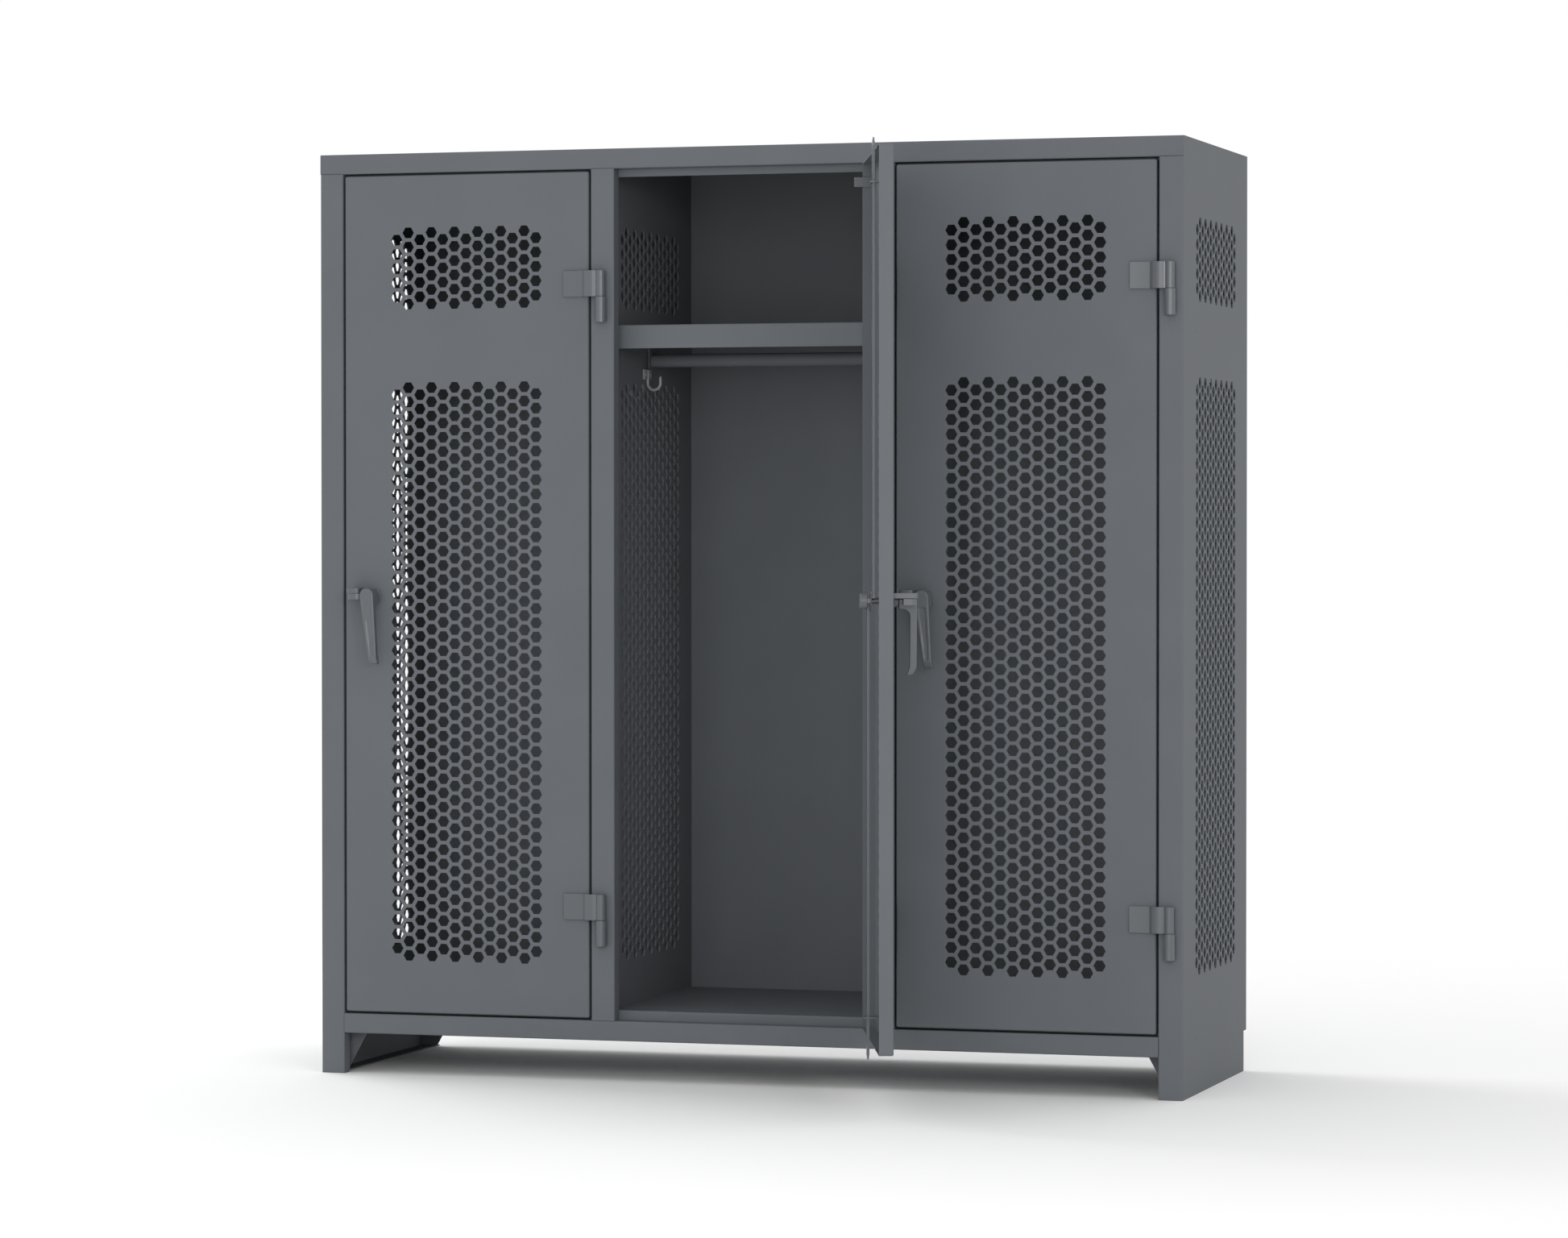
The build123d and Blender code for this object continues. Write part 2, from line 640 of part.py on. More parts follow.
def latch_cam():
    """Cam plate with a pin forward for the upper bolt and one backward for the lower bolt, and its head."""
    eyes = [Pos(-PIN_OFFSET, PIN_OFFSET), Pos(PIN_OFFSET, -PIN_OFFSET)]
    edges = RegularPolygon(CAM_HUB_RADIUS, ROUND_SIDES).edges()
    for eye in eyes:
        edges += (eye * RegularPolygon(CAM_EYE_RADIUS, SMALL_ROUND_SIDES)).edges()
    plate = make_hull(edges) - spindle_square()
    pin = RegularPolygon(CAM_PIN_RADIUS, SMALL_ROUND_SIDES)
    cam_back = CAM_Y + CAM_THICKNESS
    cam = stretch(plate, -cam_back, -CAM_Y)
    cam += stretch(eyes[0] * pin, -CAM_Y, CAM_PIN_PROUD - UPPER_BOLT_Y)
    far = LOWER_BOLT_Y + BOLT_THICKNESS + CAM_PIN_PROUD
    cam += stretch(eyes[1] * pin, -far, -cam_back)
    outline = RegularPolygon(CAM_HEAD_RADIUS, ROUND_SIDES) - spindle_square()
    head = stretch(outline, -CAM_HEAD_Y - CAM_HEAD_LENGTH, -CAM_HEAD_Y)
    return [at_spindle(cam), at_spindle(head)]


def bolt(side, front, tip_height):
    """Flat bolt beside the spindle. Side is -1 for the upper bolt and 1 for the lower one."""
    rise = -side
    back = front + BOLT_THICKNESS
    middle = front + BOLT_THICKNESS / 2
    slot_z = SPINDLE_HEIGHT + rise * PIN_OFFSET
    slot_height = 2 * (CAM_PIN_RADIUS + BOLT_SLOT_CLEARANCE)
    end_z = slot_z - rise * (slot_height / 2 + BOLT_END)
    shoulder = tip_height - rise * BOLT_TIP_LENGTH
    profile = Polyline(
        (front, end_z),
        (back, end_z),
        (back, shoulder),
        (middle + BOLT_TIP_LAND / 2, tip_height),
        (middle - BOLT_TIP_LAND / 2, tip_height),
        (front, shoulder),
        close=True,
    )
    x = SPINDLE_X + side * BOLT_OFFSET
    bar = Pos(x, 0, 0) * extrude(Plane.YZ * make_face(profile), amount=BOLT_WIDTH / 2, both=True)
    slot_half = (CAM_PIN_CIRCLE - PIN_OFFSET) / 2 + CAM_PIN_RADIUS + BOLT_SLOT_CLEARANCE / 2
    return bar - span_block(
        (x - slot_half, x + slot_half),
        (front - OVERRUN, back + OVERRUN),
        (slot_z - slot_height / 2, slot_z + slot_height / 2),
    )


def bolt_guides():
    """Folded brackets on the inside of the door that keep the bolts upright."""
    guides = []
    for height, side, front in zip(GUIDE_HEIGHTS, (-1, 1), (UPPER_BOLT_Y, LOWER_BOLT_Y)):
        back = front + BOLT_THICKNESS
        path = [(back + GUIDE_MARGIN, height), (SHEET, height), (SHEET, height - GUIDE_FOOT)]
        x = SPINDLE_X + side * BOLT_OFFSET
        half = BOLT_WIDTH / 2 + GUIDE_MARGIN
        bracket = Pos(x, 0, 0) * extrude(Plane.YZ * folded(path), amount=half, both=True)
        slot_half = BOLT_WIDTH / 2 + GUIDE_CLEARANCE
        guides.append(
            bracket
            - span_block(
                (x - slot_half, x + slot_half),
                (front - GUIDE_CLEARANCE, back + GUIDE_CLEARANCE),
                (height - SHEET - OVERRUN, height + OVERRUN),
            )
        )
    return guides


def door_lug():
    """Small plate on the inside of the door's hinge flange, near the top."""
    right = OPENING - DOOR_GAP - SHEET
    return span_block(
        (right - LUG_THICKNESS, right),
        (SHEET + INSIDE_BEND, DOOR_DEPTH + LUG_PROUD),
        (DOOR_TOP - LUG_DROP, DOOR_TOP - LUG_DROP + LUG_HEIGHT),
    )


def door_pieces():
    """Every piece of one door, drawn closed, by name."""
    return {
        "door": door_panel(),
        "hinge_leaves": hinge_leaves(),
        "handle_base": handle_base(),
        "padlock_hasp": padlock_hasp(),
        "lever": lever(),
        "spindle": spindle(),
        "latch_cam": latch_cam(),
        "upper_bolt": bolt(-1, UPPER_BOLT_Y, HEADER_BOTTOM + UPPER_BOLT_REACH),
        "lower_bolt": bolt(1, LOWER_BOLT_Y, RAIL_TOP - LOWER_BOLT_REACH),
        "bolt_guides": bolt_guides(),
        "door_lug": door_lug(),
    }


def carcass_pieces():
    """Every fixed piece of the locker, by name."""
    left_side = left_side_panel()
    pieces = {
        "left_side_panel": left_side,
        "right_side_panel": mirror(left_side, about=Plane.YZ),
        "left_divider": divider(0),
        "right_divider": divider(1),
        "left_divider_stile": divider_stile(0),
        "right_divider_stile": divider_stile(1),
        "top_panel": top_panel(),
        "bottom_rail": bottom_rail(),
        "floor_panel": floor_panel(),
        "back_panel": back_panel(),
        "foot_gussets": foot_gussets(),
        "rod_brackets": rod_brackets(),
        "coat_hooks": coat_hooks(),
        "hinge_barrels": hinge_barrels(),
        "hinge_pins": hinge_pins(),
    }
    for bay in BAYS:
        pieces[f"{bay}_shelf"] = shelf(bay)
        pieces[f"{bay}_hanging_rod"] = hanging_rod(bay)
    return pieces


def save(name, shape):
    """Writes one node as its own STEP file."""
    solids = shape if isinstance(shape, list) else [shape]
    flat = [solid for item in solids for solid in item.solids()]
    export_step(Compound(children=flat), f"parts/{name}.step")


def main():
    os.makedirs("parts", exist_ok=True)
    for name, shape in carcass_pieces().items():
        save(name, shape)
    for name, shape in door_pieces().items():
        for bay in BAYS:
            items = shape if isinstance(shape, list) else [shape]
            save(f"{bay}_{name}", [hinge_place(bay) * item for item in items])


main()
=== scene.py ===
import json
import math

import bmesh
import bpy
from mathutils import Euler, Matrix, Vector, kdtree
from mathutils.geometry import convex_hull_2d, delaunay_2d_cdt

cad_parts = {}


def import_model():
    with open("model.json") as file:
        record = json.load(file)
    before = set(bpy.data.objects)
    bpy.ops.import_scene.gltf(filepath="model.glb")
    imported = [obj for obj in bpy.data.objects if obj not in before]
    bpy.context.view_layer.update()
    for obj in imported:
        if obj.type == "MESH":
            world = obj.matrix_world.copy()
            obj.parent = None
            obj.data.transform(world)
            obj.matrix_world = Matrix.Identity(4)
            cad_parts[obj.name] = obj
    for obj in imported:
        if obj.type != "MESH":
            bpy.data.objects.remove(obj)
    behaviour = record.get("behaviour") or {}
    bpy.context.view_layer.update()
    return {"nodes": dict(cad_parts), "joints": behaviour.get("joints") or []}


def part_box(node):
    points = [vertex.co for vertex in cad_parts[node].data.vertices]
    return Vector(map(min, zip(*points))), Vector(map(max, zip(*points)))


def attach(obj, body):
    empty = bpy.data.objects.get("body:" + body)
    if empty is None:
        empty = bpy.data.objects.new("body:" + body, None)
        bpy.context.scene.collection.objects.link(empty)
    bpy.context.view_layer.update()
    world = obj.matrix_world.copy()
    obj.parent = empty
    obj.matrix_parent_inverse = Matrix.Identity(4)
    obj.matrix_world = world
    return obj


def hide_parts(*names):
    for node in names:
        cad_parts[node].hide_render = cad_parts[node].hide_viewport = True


# The looks of a welded three-bay locker. Lengths are in millimetres and angles in degrees. Only the
# camera's place, the studio and the depth of the orange peel are in metres.

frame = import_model()
NODES = frame["nodes"]
JOINTS = {joint["name"]: joint for joint in frame["joints"]}
BAYS = ("left", "centre", "right")
SIDES = {"left": -1, "right": 1}
SCALE = 0.001

# Meshing
CIRCLE_STEPS = 48
SMALL_CIRCLE_STEPS = 20
BEND_STEPS = 6
MERGE_DISTANCE = 1e-5
FOLD_SLACK = 1e-6
BEVEL_SEGMENTS = 2
BEVEL_ANGLE = 40.0
SHARP_ANGLE = 35.0
CAST_SHARP_ANGLE = 50.0

# Sheet metal
SHEET = 2.7
INSIDE_BEND = 0.6
OUTSIDE_BEND = INSIDE_BEND + SHEET
TRAY_CORNER = 4.0
STILE_WIDTH = 50.0
STILE_RETURN = 30.0
HEADER_HEIGHT = 41.0
HEADER_STRIP = 15.4
STRIP_BACK = STILE_RETURN + INSIDE_BEND + SHEET
DOOR_DEPTH = 28.0
FOOT_NOTCH_HEIGHT = 84.0
BACK_RECESS = 25.6
FOOT_FLANGE = 38.0
ANCHOR_RADIUS = 7.0
ANCHOR_INSET = 22.0
ANCHOR_HALF_SPACING = 220.0
SHEET_EDGE = 0.5

# Vents: hexagons with flats at top and bottom
COLUMN_PITCH = 25.4
ROW_PITCH = COLUMN_PITCH * 2 / math.sqrt(3)
HEXAGON_SIDES = 6
FLATS_SHARE = 0.75
HEXAGON_RADIUS = ROW_PITCH * FLATS_SHARE / math.sqrt(3)
LOWER_VENT_CENTRE = 835.0
UPPER_VENT_CENTRE = 1667.5
LOWER_LONG_ROWS = 41
UPPER_LONG_ROWS = 6
DOOR_COLUMNS = 13
SIDE_COLUMNS = 15

# Hinges
OPEN_BAY = "centre"
OPEN_ANGLE = 109.5
STAND_OFF = 10.0
BORE_RADIUS = 6.05
KNUCKLE_RADIUS = 9.5
KNUCKLE_HEIGHT = 53.0
BARREL_RADIUS = 11.1
BARREL_HEIGHT = 52.6
LEAF_THICKNESS = 4.8
LEAF_EDGE = 58.0
LEAF_JOG_EDGE = 17.0
LEAF_JOG_RUN = 7.0
LEAF_WELD = 7.8
LEAF_BEND = 2.5
LEAF_CROWN = 3.0
LEAF_CROWN_SET_BACK = 1 / 3  # share of the crown by which the strap's ends lie back
LEAF_CROWN_STEPS = 6
KNUCKLE_EDGE = 0.6

# Lever, its base, the hasp and the cam
SPINDLE_INSET = 64.0
SPINDLE_HEIGHT = 993.0
SPINDLE_RADIUS = 6.0
PAN_HOLE = 6.5
BASE_RADIUS = 16.5
BASE_FLANGE = 4.0
BASE_EDGE = 1.0
BOSS_RADIUS = 12.0
BASE_HEIGHT = 12.7
BASE_BORE = 6.15
HUB_FACE = 13.0
LEVER_REACH = 48.0
LEVER_BACK = 34.6
LEVER_TOP_RADIUS = 15.0
LEVER_END_HALF = 8.5
LEVER_END_CORNER = 3.0
LEVER_LENGTH = 142.0
LEVER_SLANT = 14.0
LEVER_HOOK = 6.0
LEVER_HOOK_POWER = 1.4
LEVER_HOOK_LENGTH = 17.0
LEVER_HEEL = 4.0
LEVER_NECK = 16.0
LEVER_FRONT_EDGE = 2.2
LEVER_BACK_EDGE = 1.5
LEVER_EDGE_SHARE = 0.45
LEVER_RING_STEPS = 26
LEVER_SHANK_STEPS = 56
LEVER_TOP_ANGLES = range(6, 176, 8)
LEVER_NECK_ANGLES = range(88, -1, -8)
LEVER_END_ANGLES = range(18, 73, 18)
RECESS_DEPTH = 1.5
RECESS_SLOPE = 1.6
RECESS_ENDS = ((26.0, 8.0), (120.0, 4.5))  # (drop below the spindle, radius)
EYE_LEFT = 45.0
HASP_RIGHT = 17.0
HASP_BOTTOM = 5.0
HASP_CORNER = 6.0
HASP_THICKNESS = 10.0
TAB_INNER = 20.0
TAB_RIGHT = 12.0
TAB_SET_BACK = 0.8
TAB_BOTTOM = -8.0
TAB_CORNER = 13.0
TAB_THICKNESS = 12.0
CAST_EDGE = 0.9
PADLOCK_CENTRE = (-31.0, -34.0)  # (across from the spindle, out from the door's face)
PADLOCK_RADIUS = 5.0
CAM_FRONT = 38.9
CAM_THICKNESS = 2.5
CAM_HUB_RADIUS = 13.0
CAM_EYE_RADIUS = 6.0
CAM_PIN_RADIUS = 3.0
CAM_PIN_OFFSET = 14.85
CAM_PIN_PROUD = 1.5
BOLT_THICKNESS = 5.0
BOLT_CLEARANCE = 0.3
BOLT_EDGE = 1.2
HEAD_RADIUS = 16.0
HEAD_LENGTH = 14.0
HEAD_EDGE = 0.8
HEAD_CUP = 11.0
HEAD_CUP_DEPTH = 5.0

# Rods, hooks and weld spots
ROD_RADIUS = 13.75
ROD_WALL = 2.0
ROD_HEIGHT = 1482.4
ROD_CLEARANCE = 0.15
HOOK_WIRE = 3.15
HOOK_BOWL = 13.95
HOOK_BOWL_STEPS = 24
HOOK_STEM = 3.45
HOOK_FORWARD = 28.0
HOOK_TOP = 1463.2
HOOK_DROP = 45.6
HOOK_TIP_RISE = 32.1
HOOK_TIP_ANGLES = range(0, 86, 17)
HOOK_PLATE = 4.6
HOOK_PLATE_WIDTH = 44.0
HOOK_PLATE_HEIGHT = 21.0
SCREW_RADIUS = 4.0
SCREW_PROUD = 1.8
SCREW_OFFSET = 14.0
RIGHT_HOOK_DROP = 16.0
WELD_RADIUS = 3.2
WELD_PROUD = 0.5
WELD_HEIGHTS = (114.5, 1523.9, 1895.0)
WELD_DEPTHS = (-186.8, 218.8)
DOME_RINGS = ((-0.5, 1.0), (0.6, 0.9), (1.0, 0.55))  # shares of (height, radius)

# The photograph's camera: its place in metres, its lens and sensor in millimetres
CAMERA_PLACE = (3.0769, -10.0648, 1.1292)
CAMERA_PITCH = 1.016
CAMERA_YAW = 17.01
CAMERA_ROLL = 0.014
CAMERA_LENS = 116.06
SENSOR_WIDTH = 36.0
CLIP_END = 100.0

# The studio, in metres and watts. A lamp is (place, width, power).
WHITE = (1.0, 1.0, 1.0, 1.0)
WORLD_STRENGTH = 0.9
FLOOR_SIZE = 60.0
FLOOR_COLOUR = (0.95, 0.95, 0.95, 1.0)
FLOOR_ROUGHNESS = 0.95
FLOOR_GLOSS = 0.1
FADE_START = 1.8
FADE_END = 3.6
LAMP_AIM = (0.0, 0.0, 0.9)
LAMPS = {
    "left_rear": ((-4.5, 1.8, 3.6), 3.0, 120.0),
    "front": ((0.9, -7.0, 1.8), 3.5, 85.0),
    "right_front": ((4.2, -6.0, 2.2), 1.0, 50.0),
}

# Coats: colour, roughness, gloss and strength of the orange peel
GREY_COAT = ((0.123, 0.132, 0.143), 0.58, 0.1, 0.06)
GLOSSY_COAT = ((0.1, 0.108, 0.118), 0.25, 0.5, 0.03)
PALE_COAT = ((0.25, 0.26, 0.27), 0.3, 0.5, 0.03)
MOTTLE_SCALE = 7.0
MOTTLE_DETAIL = 4.0
MOTTLE_TONES = (0.97, 1.03)
MOTTLE_STOPS = (0.3, 0.7)
MOTTLE_ROUGHNESS = 0.03
PEEL_SCALE = 900.0
PEEL_DETAIL = 2.0
PEEL_DEPTH = 0.0003

# Bare steel
WEAR_SCALE = 400.0
WEAR_DETAIL = 2.0
STEEL_TONES = ((0.10, 0.10, 0.11), (0.20, 0.20, 0.21))
STEEL_ROUGHNESS = (0.32, 0.48)


# Materials


def noise(tree, scale, detail, place):
    """Noise over the piece's own coordinates."""
    texture = tree.nodes.new("ShaderNodeTexNoise")
    texture.inputs["Scale"].default_value = scale
    texture.inputs["Detail"].default_value = detail
    tree.links.new(place.outputs["Object"], texture.inputs["Vector"])
    return texture.outputs["Fac"]


def spread(tree, factor, low, high):
    """A roughness between two values."""
    mapping = tree.nodes.new("ShaderNodeMapRange")
    mapping.inputs["To Min"].default_value = low
    mapping.inputs["To Max"].default_value = high
    tree.links.new(factor, mapping.inputs["Value"])
    return mapping.outputs["Result"]


def two_tone(tree, factor, low, high, start=0.0, end=1.0):
    """A colour between two tones."""
    ramp = tree.nodes.new("ShaderNodeValToRGB")
    first, last = ramp.color_ramp.elements
    first.position, last.position = start, end
    first.color, last.color = (*low, 1.0), (*high, 1.0)
    tree.links.new(factor, ramp.inputs["Fac"])
    return ramp.outputs["Color"]


def new_material(name):
    """A new material with its node tree, shader and coordinates."""
    material = bpy.data.materials.new(name)
    material.use_nodes = True
    tree = material.node_tree
    return material, tree, tree.nodes["Principled BSDF"], tree.nodes.new("ShaderNodeTexCoord")


def powder_coat(name, colour, roughness, gloss, grain):
    """Powder coat: an even colour with a faint mottle and a fine orange-peel skin."""
    material, tree, shader, place = new_material(name)
    shader.inputs["Specular IOR Level"].default_value = gloss
    mottle = noise(tree, MOTTLE_SCALE, MOTTLE_DETAIL, place)
    low, high = [[channel * tone for channel in colour] for tone in MOTTLE_TONES]
    tint = two_tone(tree, mottle, low, high, *MOTTLE_STOPS)
    tree.links.new(tint, shader.inputs["Base Color"])
    sheen = spread(tree, mottle, roughness - MOTTLE_ROUGHNESS, roughness + MOTTLE_ROUGHNESS)
    tree.links.new(sheen, shader.inputs["Roughness"])
    bump = tree.nodes.new("ShaderNodeBump")
    bump.inputs["Strength"].default_value = grain
    bump.inputs["Distance"].default_value = PEEL_DEPTH
    tree.links.new(noise(tree, PEEL_SCALE, PEEL_DETAIL, place), bump.inputs["Height"])
    tree.links.new(bump.outputs["Normal"], shader.inputs["Normal"])
    return material


def bare_steel(name):
    """Dark turned steel of the hinge pins and spindles, lightly worn."""
    material, tree, shader, place = new_material(name)
    shader.inputs["Metallic"].default_value = 1.0
    wear = noise(tree, WEAR_SCALE, WEAR_DETAIL, place)
    tree.links.new(two_tone(tree, wear, *STEEL_TONES), shader.inputs["Base Color"])
    tree.links.new(spread(tree, wear, *STEEL_ROUGHNESS), shader.inputs["Roughness"])
    return material


# Mesh helpers


def soften(piece, width):
    """Rounds the sharp edges a little."""
    modifier = piece.modifiers.new("edge", "BEVEL")
    modifier.width = width * SCALE
    modifier.segments = BEVEL_SEGMENTS
    modifier.limit_method = "ANGLE"
    modifier.angle_limit = math.radians(BEVEL_ANGLE)


def finish_piece(name, data, body, nodes, material, bevel=0.0, sharp=SHARP_ANGLE, weighted=False):
    """Turns a bmesh in millimetres into a piece that rides on a body and stands for CAD nodes."""
    data.transform(Matrix.Scale(SCALE, 4))
    bmesh.ops.recalc_face_normals(data, faces=data.faces[:])
    mesh = bpy.data.meshes.new(name)
    data.to_mesh(mesh)
    data.free()
    mesh.shade_smooth()
    mesh.set_sharp_from_angle(angle=math.radians(sharp))
    mesh.materials.append(material)
    piece = bpy.data.objects.new(name, mesh)
    bpy.context.scene.collection.objects.link(piece)
    if bevel:
        soften(piece, bevel)
    if weighted:
        piece.modifiers.new("normals", "WEIGHTED_NORMAL").keep_sharp = True
    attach(piece, body)
    if nodes:
        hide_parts(*nodes)


def ring(centre, radius, steps=CIRCLE_STEPS):
    """Corners of a regular polygon, the first one at three o'clock."""
    angles = [2 * math.pi * step / steps for step in range(steps)]
    return [(centre[0] + radius * math.cos(a), centre[1] + radius * math.sin(a)) for a in angles]


def arc(centre, radius, start, turn=90):
    """Points on an arc, its angles in degrees."""
    angles = [math.radians(start + turn * step / BEND_STEPS) for step in range(BEND_STEPS + 1)]
    return [(centre[0] + radius * math.cos(a), centre[1] + radius * math.sin(a)) for a in angles]


def hull(points):
    """Outline around all the points."""
    return [points[index] for index in convex_hull_2d(points)]


def inside(point, outline):
    """Whether a point lies inside a closed outline."""
    x, y = point
    odd = False
    for (x0, y0), (x1, y1) in zip(outline, outline[1:] + outline[:1]):
        if (y0 > y) != (y1 > y) and x < (x1 - x0) * (y - y0) / (y1 - y0) + x0:
            odd = not odd
    return odd


def triangulate(outline, holes, creases=()):
    """Triangles of a flat sheet. A hole is (centre, radius, sides); creases are edges to keep."""
    points, edges = [], []
    for loop in [outline] + [ring(*hole) for hole in holes]:
        start = len(points)
        points += loop
        edges += [(start + i, start + (i + 1) % len(loop)) for i in range(len(loop))]
    for crease in creases:
        edges.append((len(points), len(points) + 1))
        points += crease
    vectors = [Vector(point) for point in points]
    corners, _, faces, *_ = delaunay_2d_cdt(vectors, edges, [], 0, MERGE_DISTANCE)
    tree = kdtree.KDTree(len(holes) + 1)
    for index, (centre, _, _) in enumerate(holes):
        tree.insert((*centre, 0.0), index)
    tree.balance()
    kept = []
    for face in faces:
        middle = sum((corners[i] for i in face), Vector((0.0, 0.0))) / len(face)
        if holes:
            _, index, distance = tree.find((*middle, 0.0))
            centre, radius, sides = holes[index]
            if distance < radius and inside(middle, ring(centre, radius, sides)):
                continue
        if inside(middle, outline):
            kept.append(tuple(face))
    return [tuple(corner) for corner in corners], kept


def rim_edges(faces):
    """Directed edges that belong to one face only."""
    seen = set()
    for face in faces:
        seen.update(zip(face, face[1:] + face[:1]))
    return [(a, b) for a, b in sorted(seen) if (b, a) not in seen]


def two_layers(data, corners, faces, place):
    """Front and back faces of a sheet. Place gives the point of a corner on layer 0 or 1."""
    used = sorted({index for face in faces for index in face})
    layers = []
    for layer in (0, 1):
        layers.append({index: data.verts.new(place(*corners[index], layer)) for index in used})
    for face in faces:
        data.faces.new([layers[0][index] for index in face])
        data.faces.new([layers[1][index] for index in reversed(face)])
    return layers


def join_rims(data, layers, edges):
    """Walls between the two layers along the given edges."""
    front, back = layers
    for a, b in edges:
        data.faces.new([front[b], front[a], back[a], back[b]])


def solid_sheet(outline, holes, place, creases=(), data=None):
    """A closed sheet, in a bmesh of its own or added to the one given."""
    data = data or bmesh.new()
    corners, faces = triangulate(outline, holes, creases)
    layers = two_layers(data, corners, faces, place)
    join_rims(data, layers, rim_edges(faces))
    return data


def bridge(data, loops):
    """Four-sided faces from each loop of vertices to the next one."""
    count = len(loops[0])
    for near, far in zip(loops, loops[1:]):
        for i in range(count):
            j = (i + 1) % count
            data.faces.new([near[i], near[j], far[j], far[i]])


def loft(data, rings, closed=False):
    """Skin over a row of rings, with its two ends closed, or joined end to end."""
    loops = [[data.verts.new(point) for point in points] for points in rings]
    if closed:
        bridge(data, loops + loops[:1])
        return
    bridge(data, loops)
    data.faces.new(list(reversed(loops[0])))
    data.faces.new(loops[-1])


def lathe(data, profile, place):
    """Revolves a closed profile of (radius, distance). Place maps (u, v, distance)."""
    rings = []
    for u, v in ring((0.0, 0.0), 1.0):
        rings.append([place(radius * u, radius * v, distance) for radius, distance in profile])
    loft(data, rings, closed=True)


def bored(inner, outer, low, high, edge):
    """Lathe profile of a bored cylinder with its outer edges broken."""
    return [
        (inner, low),
        (outer - edge, low),
        (outer, low + edge),
        (outer, high - edge),
        (outer - edge, high),
        (inner, high),
    ]


def rounded_outline(half_width, low, high, radius):
    """Corners of a round-cornered rectangle, anticlockwise."""
    outline = []
    for x, y, start in ((1, 1, 0), (-1, 1, 90), (-1, -1, 180), (1, -1, 270)):
        level = high - radius if y > 0 else low + radius
        outline += arc((x * (half_width - radius), level), radius, start)
    return outline


# Vented sheets


def vent_centres(columns, long_rows, middle):
    """Centres of one vent's hexagons around (0, middle), with a short column at each side."""
    centres = []
    for column in range(columns):
        rows = long_rows - 1 if column % 2 == 0 else long_rows
        across = (column - (columns - 1) / 2) * COLUMN_PITCH
        centres += [(across, middle + (row - (rows - 1) / 2) * ROW_PITCH) for row in range(rows)]
    return centres


def both_vents(columns, shift=0.0):
    """Hexagonal holes of the lower and upper vents of one sheet."""
    centres = vent_centres(columns, LOWER_LONG_ROWS, LOWER_VENT_CENTRE)
    centres += vent_centres(columns, UPPER_LONG_ROWS, UPPER_VENT_CENTRE)
    return [((across + shift, up), HEXAGON_RADIUS, HEXAGON_SIDES) for across, up in centres]


def door_place(bay):
    """Matrix that puts a door in its place. Before it, X starts at its middle and Y at its face."""
    x, y, _ = JOINTS[f"{bay}_door_swing"]["pos_m"]
    angle = OPEN_ANGLE if bay == OPEN_BAY else 0.0
    turn = Matrix.Rotation(math.radians(angle), 4, "Z")
    shift = Matrix.Translation((x / SCALE, y / SCALE, 0.0))
    return shift @ turn @ Matrix.Translation((-HINGE_X, STAND_OFF, 0.0))


def door_skin(bay, material):
    """Door tray: a vented web, round bends and four flanges, all one skin."""
    holes = both_vents(DOOR_COLUMNS)
    holes.append(((SPINDLE_X, SPINDLE_HEIGHT), PAN_HOLE, CIRCLE_STEPS))

    def loop_at(out):
        low, high = DOOR_LOW + OUTSIDE_BEND - out, DOOR_HIGH - OUTSIDE_BEND + out
        half = DOOR_WIDTH / 2 - OUTSIDE_BEND + out
        return rounded_outline(half, low, high, TRAY_CORNER - OUTSIDE_BEND + out)

    outline = loop_at(0.0)
    count = len(outline)
    corners, faces = triangulate(outline, holes)
    data = bmesh.new()
    front, back = two_layers(data, corners, faces, lambda x, z, layer: (x, layer * SHEET, z))
    join_rims(data, (front, back), [(a, b) for a, b in rim_edges(faces) if max(a, b) >= count])
    bends = [math.pi / 2 * step / BEND_STEPS for step in range(1, BEND_STEPS + 1)]
    profile = [(OUTSIDE_BEND * math.sin(a), OUTSIDE_BEND * (1 - math.cos(a))) for a in bends]
    profile += [(OUTSIDE_BEND, DOOR_DEPTH), (INSIDE_BEND, DOOR_DEPTH)]
    for a in reversed(bends):
        profile.append((INSIDE_BEND * math.sin(a), OUTSIDE_BEND - INSIDE_BEND * math.cos(a)))
    loops = [[front[i] for i in range(count)]]
    for out, depth in profile:
        loops.append([data.verts.new((x, depth, z)) for x, z in loop_at(out)])
    loops.append([back[i] for i in range(count)])
    bridge(data, loops)
    data.transform(door_place(bay))
    body = f"{bay}_door_body"
    finish_piece(f"{bay}_door_skin", data, body, [f"{bay}_door"], material, weighted=True)


def fold_runs(points):
    """Straight runs and quarter bends of a folded line by arc length, and the line's length."""
    runs = []
    along = 0.0
    last = len(points) - 2
    for index, (start, end) in enumerate(zip(points, points[1:])):
        start, end = Vector(start), Vector(end)
        step = (end - start).normalized()
        head = start + step * (OUTSIDE_BEND if index else 0.0)
        tail = end - step * (OUTSIDE_BEND if index < last else 0.0)
        length = (tail - head).length
        runs.append(("run", along, length, head, step))
        along += length
        if index < last:
            runs.append(("bend", along, OUTSIDE_BEND * math.pi / 2, tail, step))
            along += OUTSIDE_BEND * math.pi / 2
    return runs, along


def on_fold(runs, u, depth):
    """Point at arc length u on the folded line, moved to its left by a depth."""
    for kind, along, length, head, step in runs:
        if u <= along + length + FOLD_SLACK:
            break
    left = Vector((-step.y, step.x))
    if kind == "run":
        return head + step * (u - along) + left * depth
    angle = (u - along) / OUTSIDE_BEND
    outward = step * math.sin(angle) - left * math.cos(angle)
    return head + left * OUTSIDE_BEND + outward * (OUTSIDE_BEND - depth)


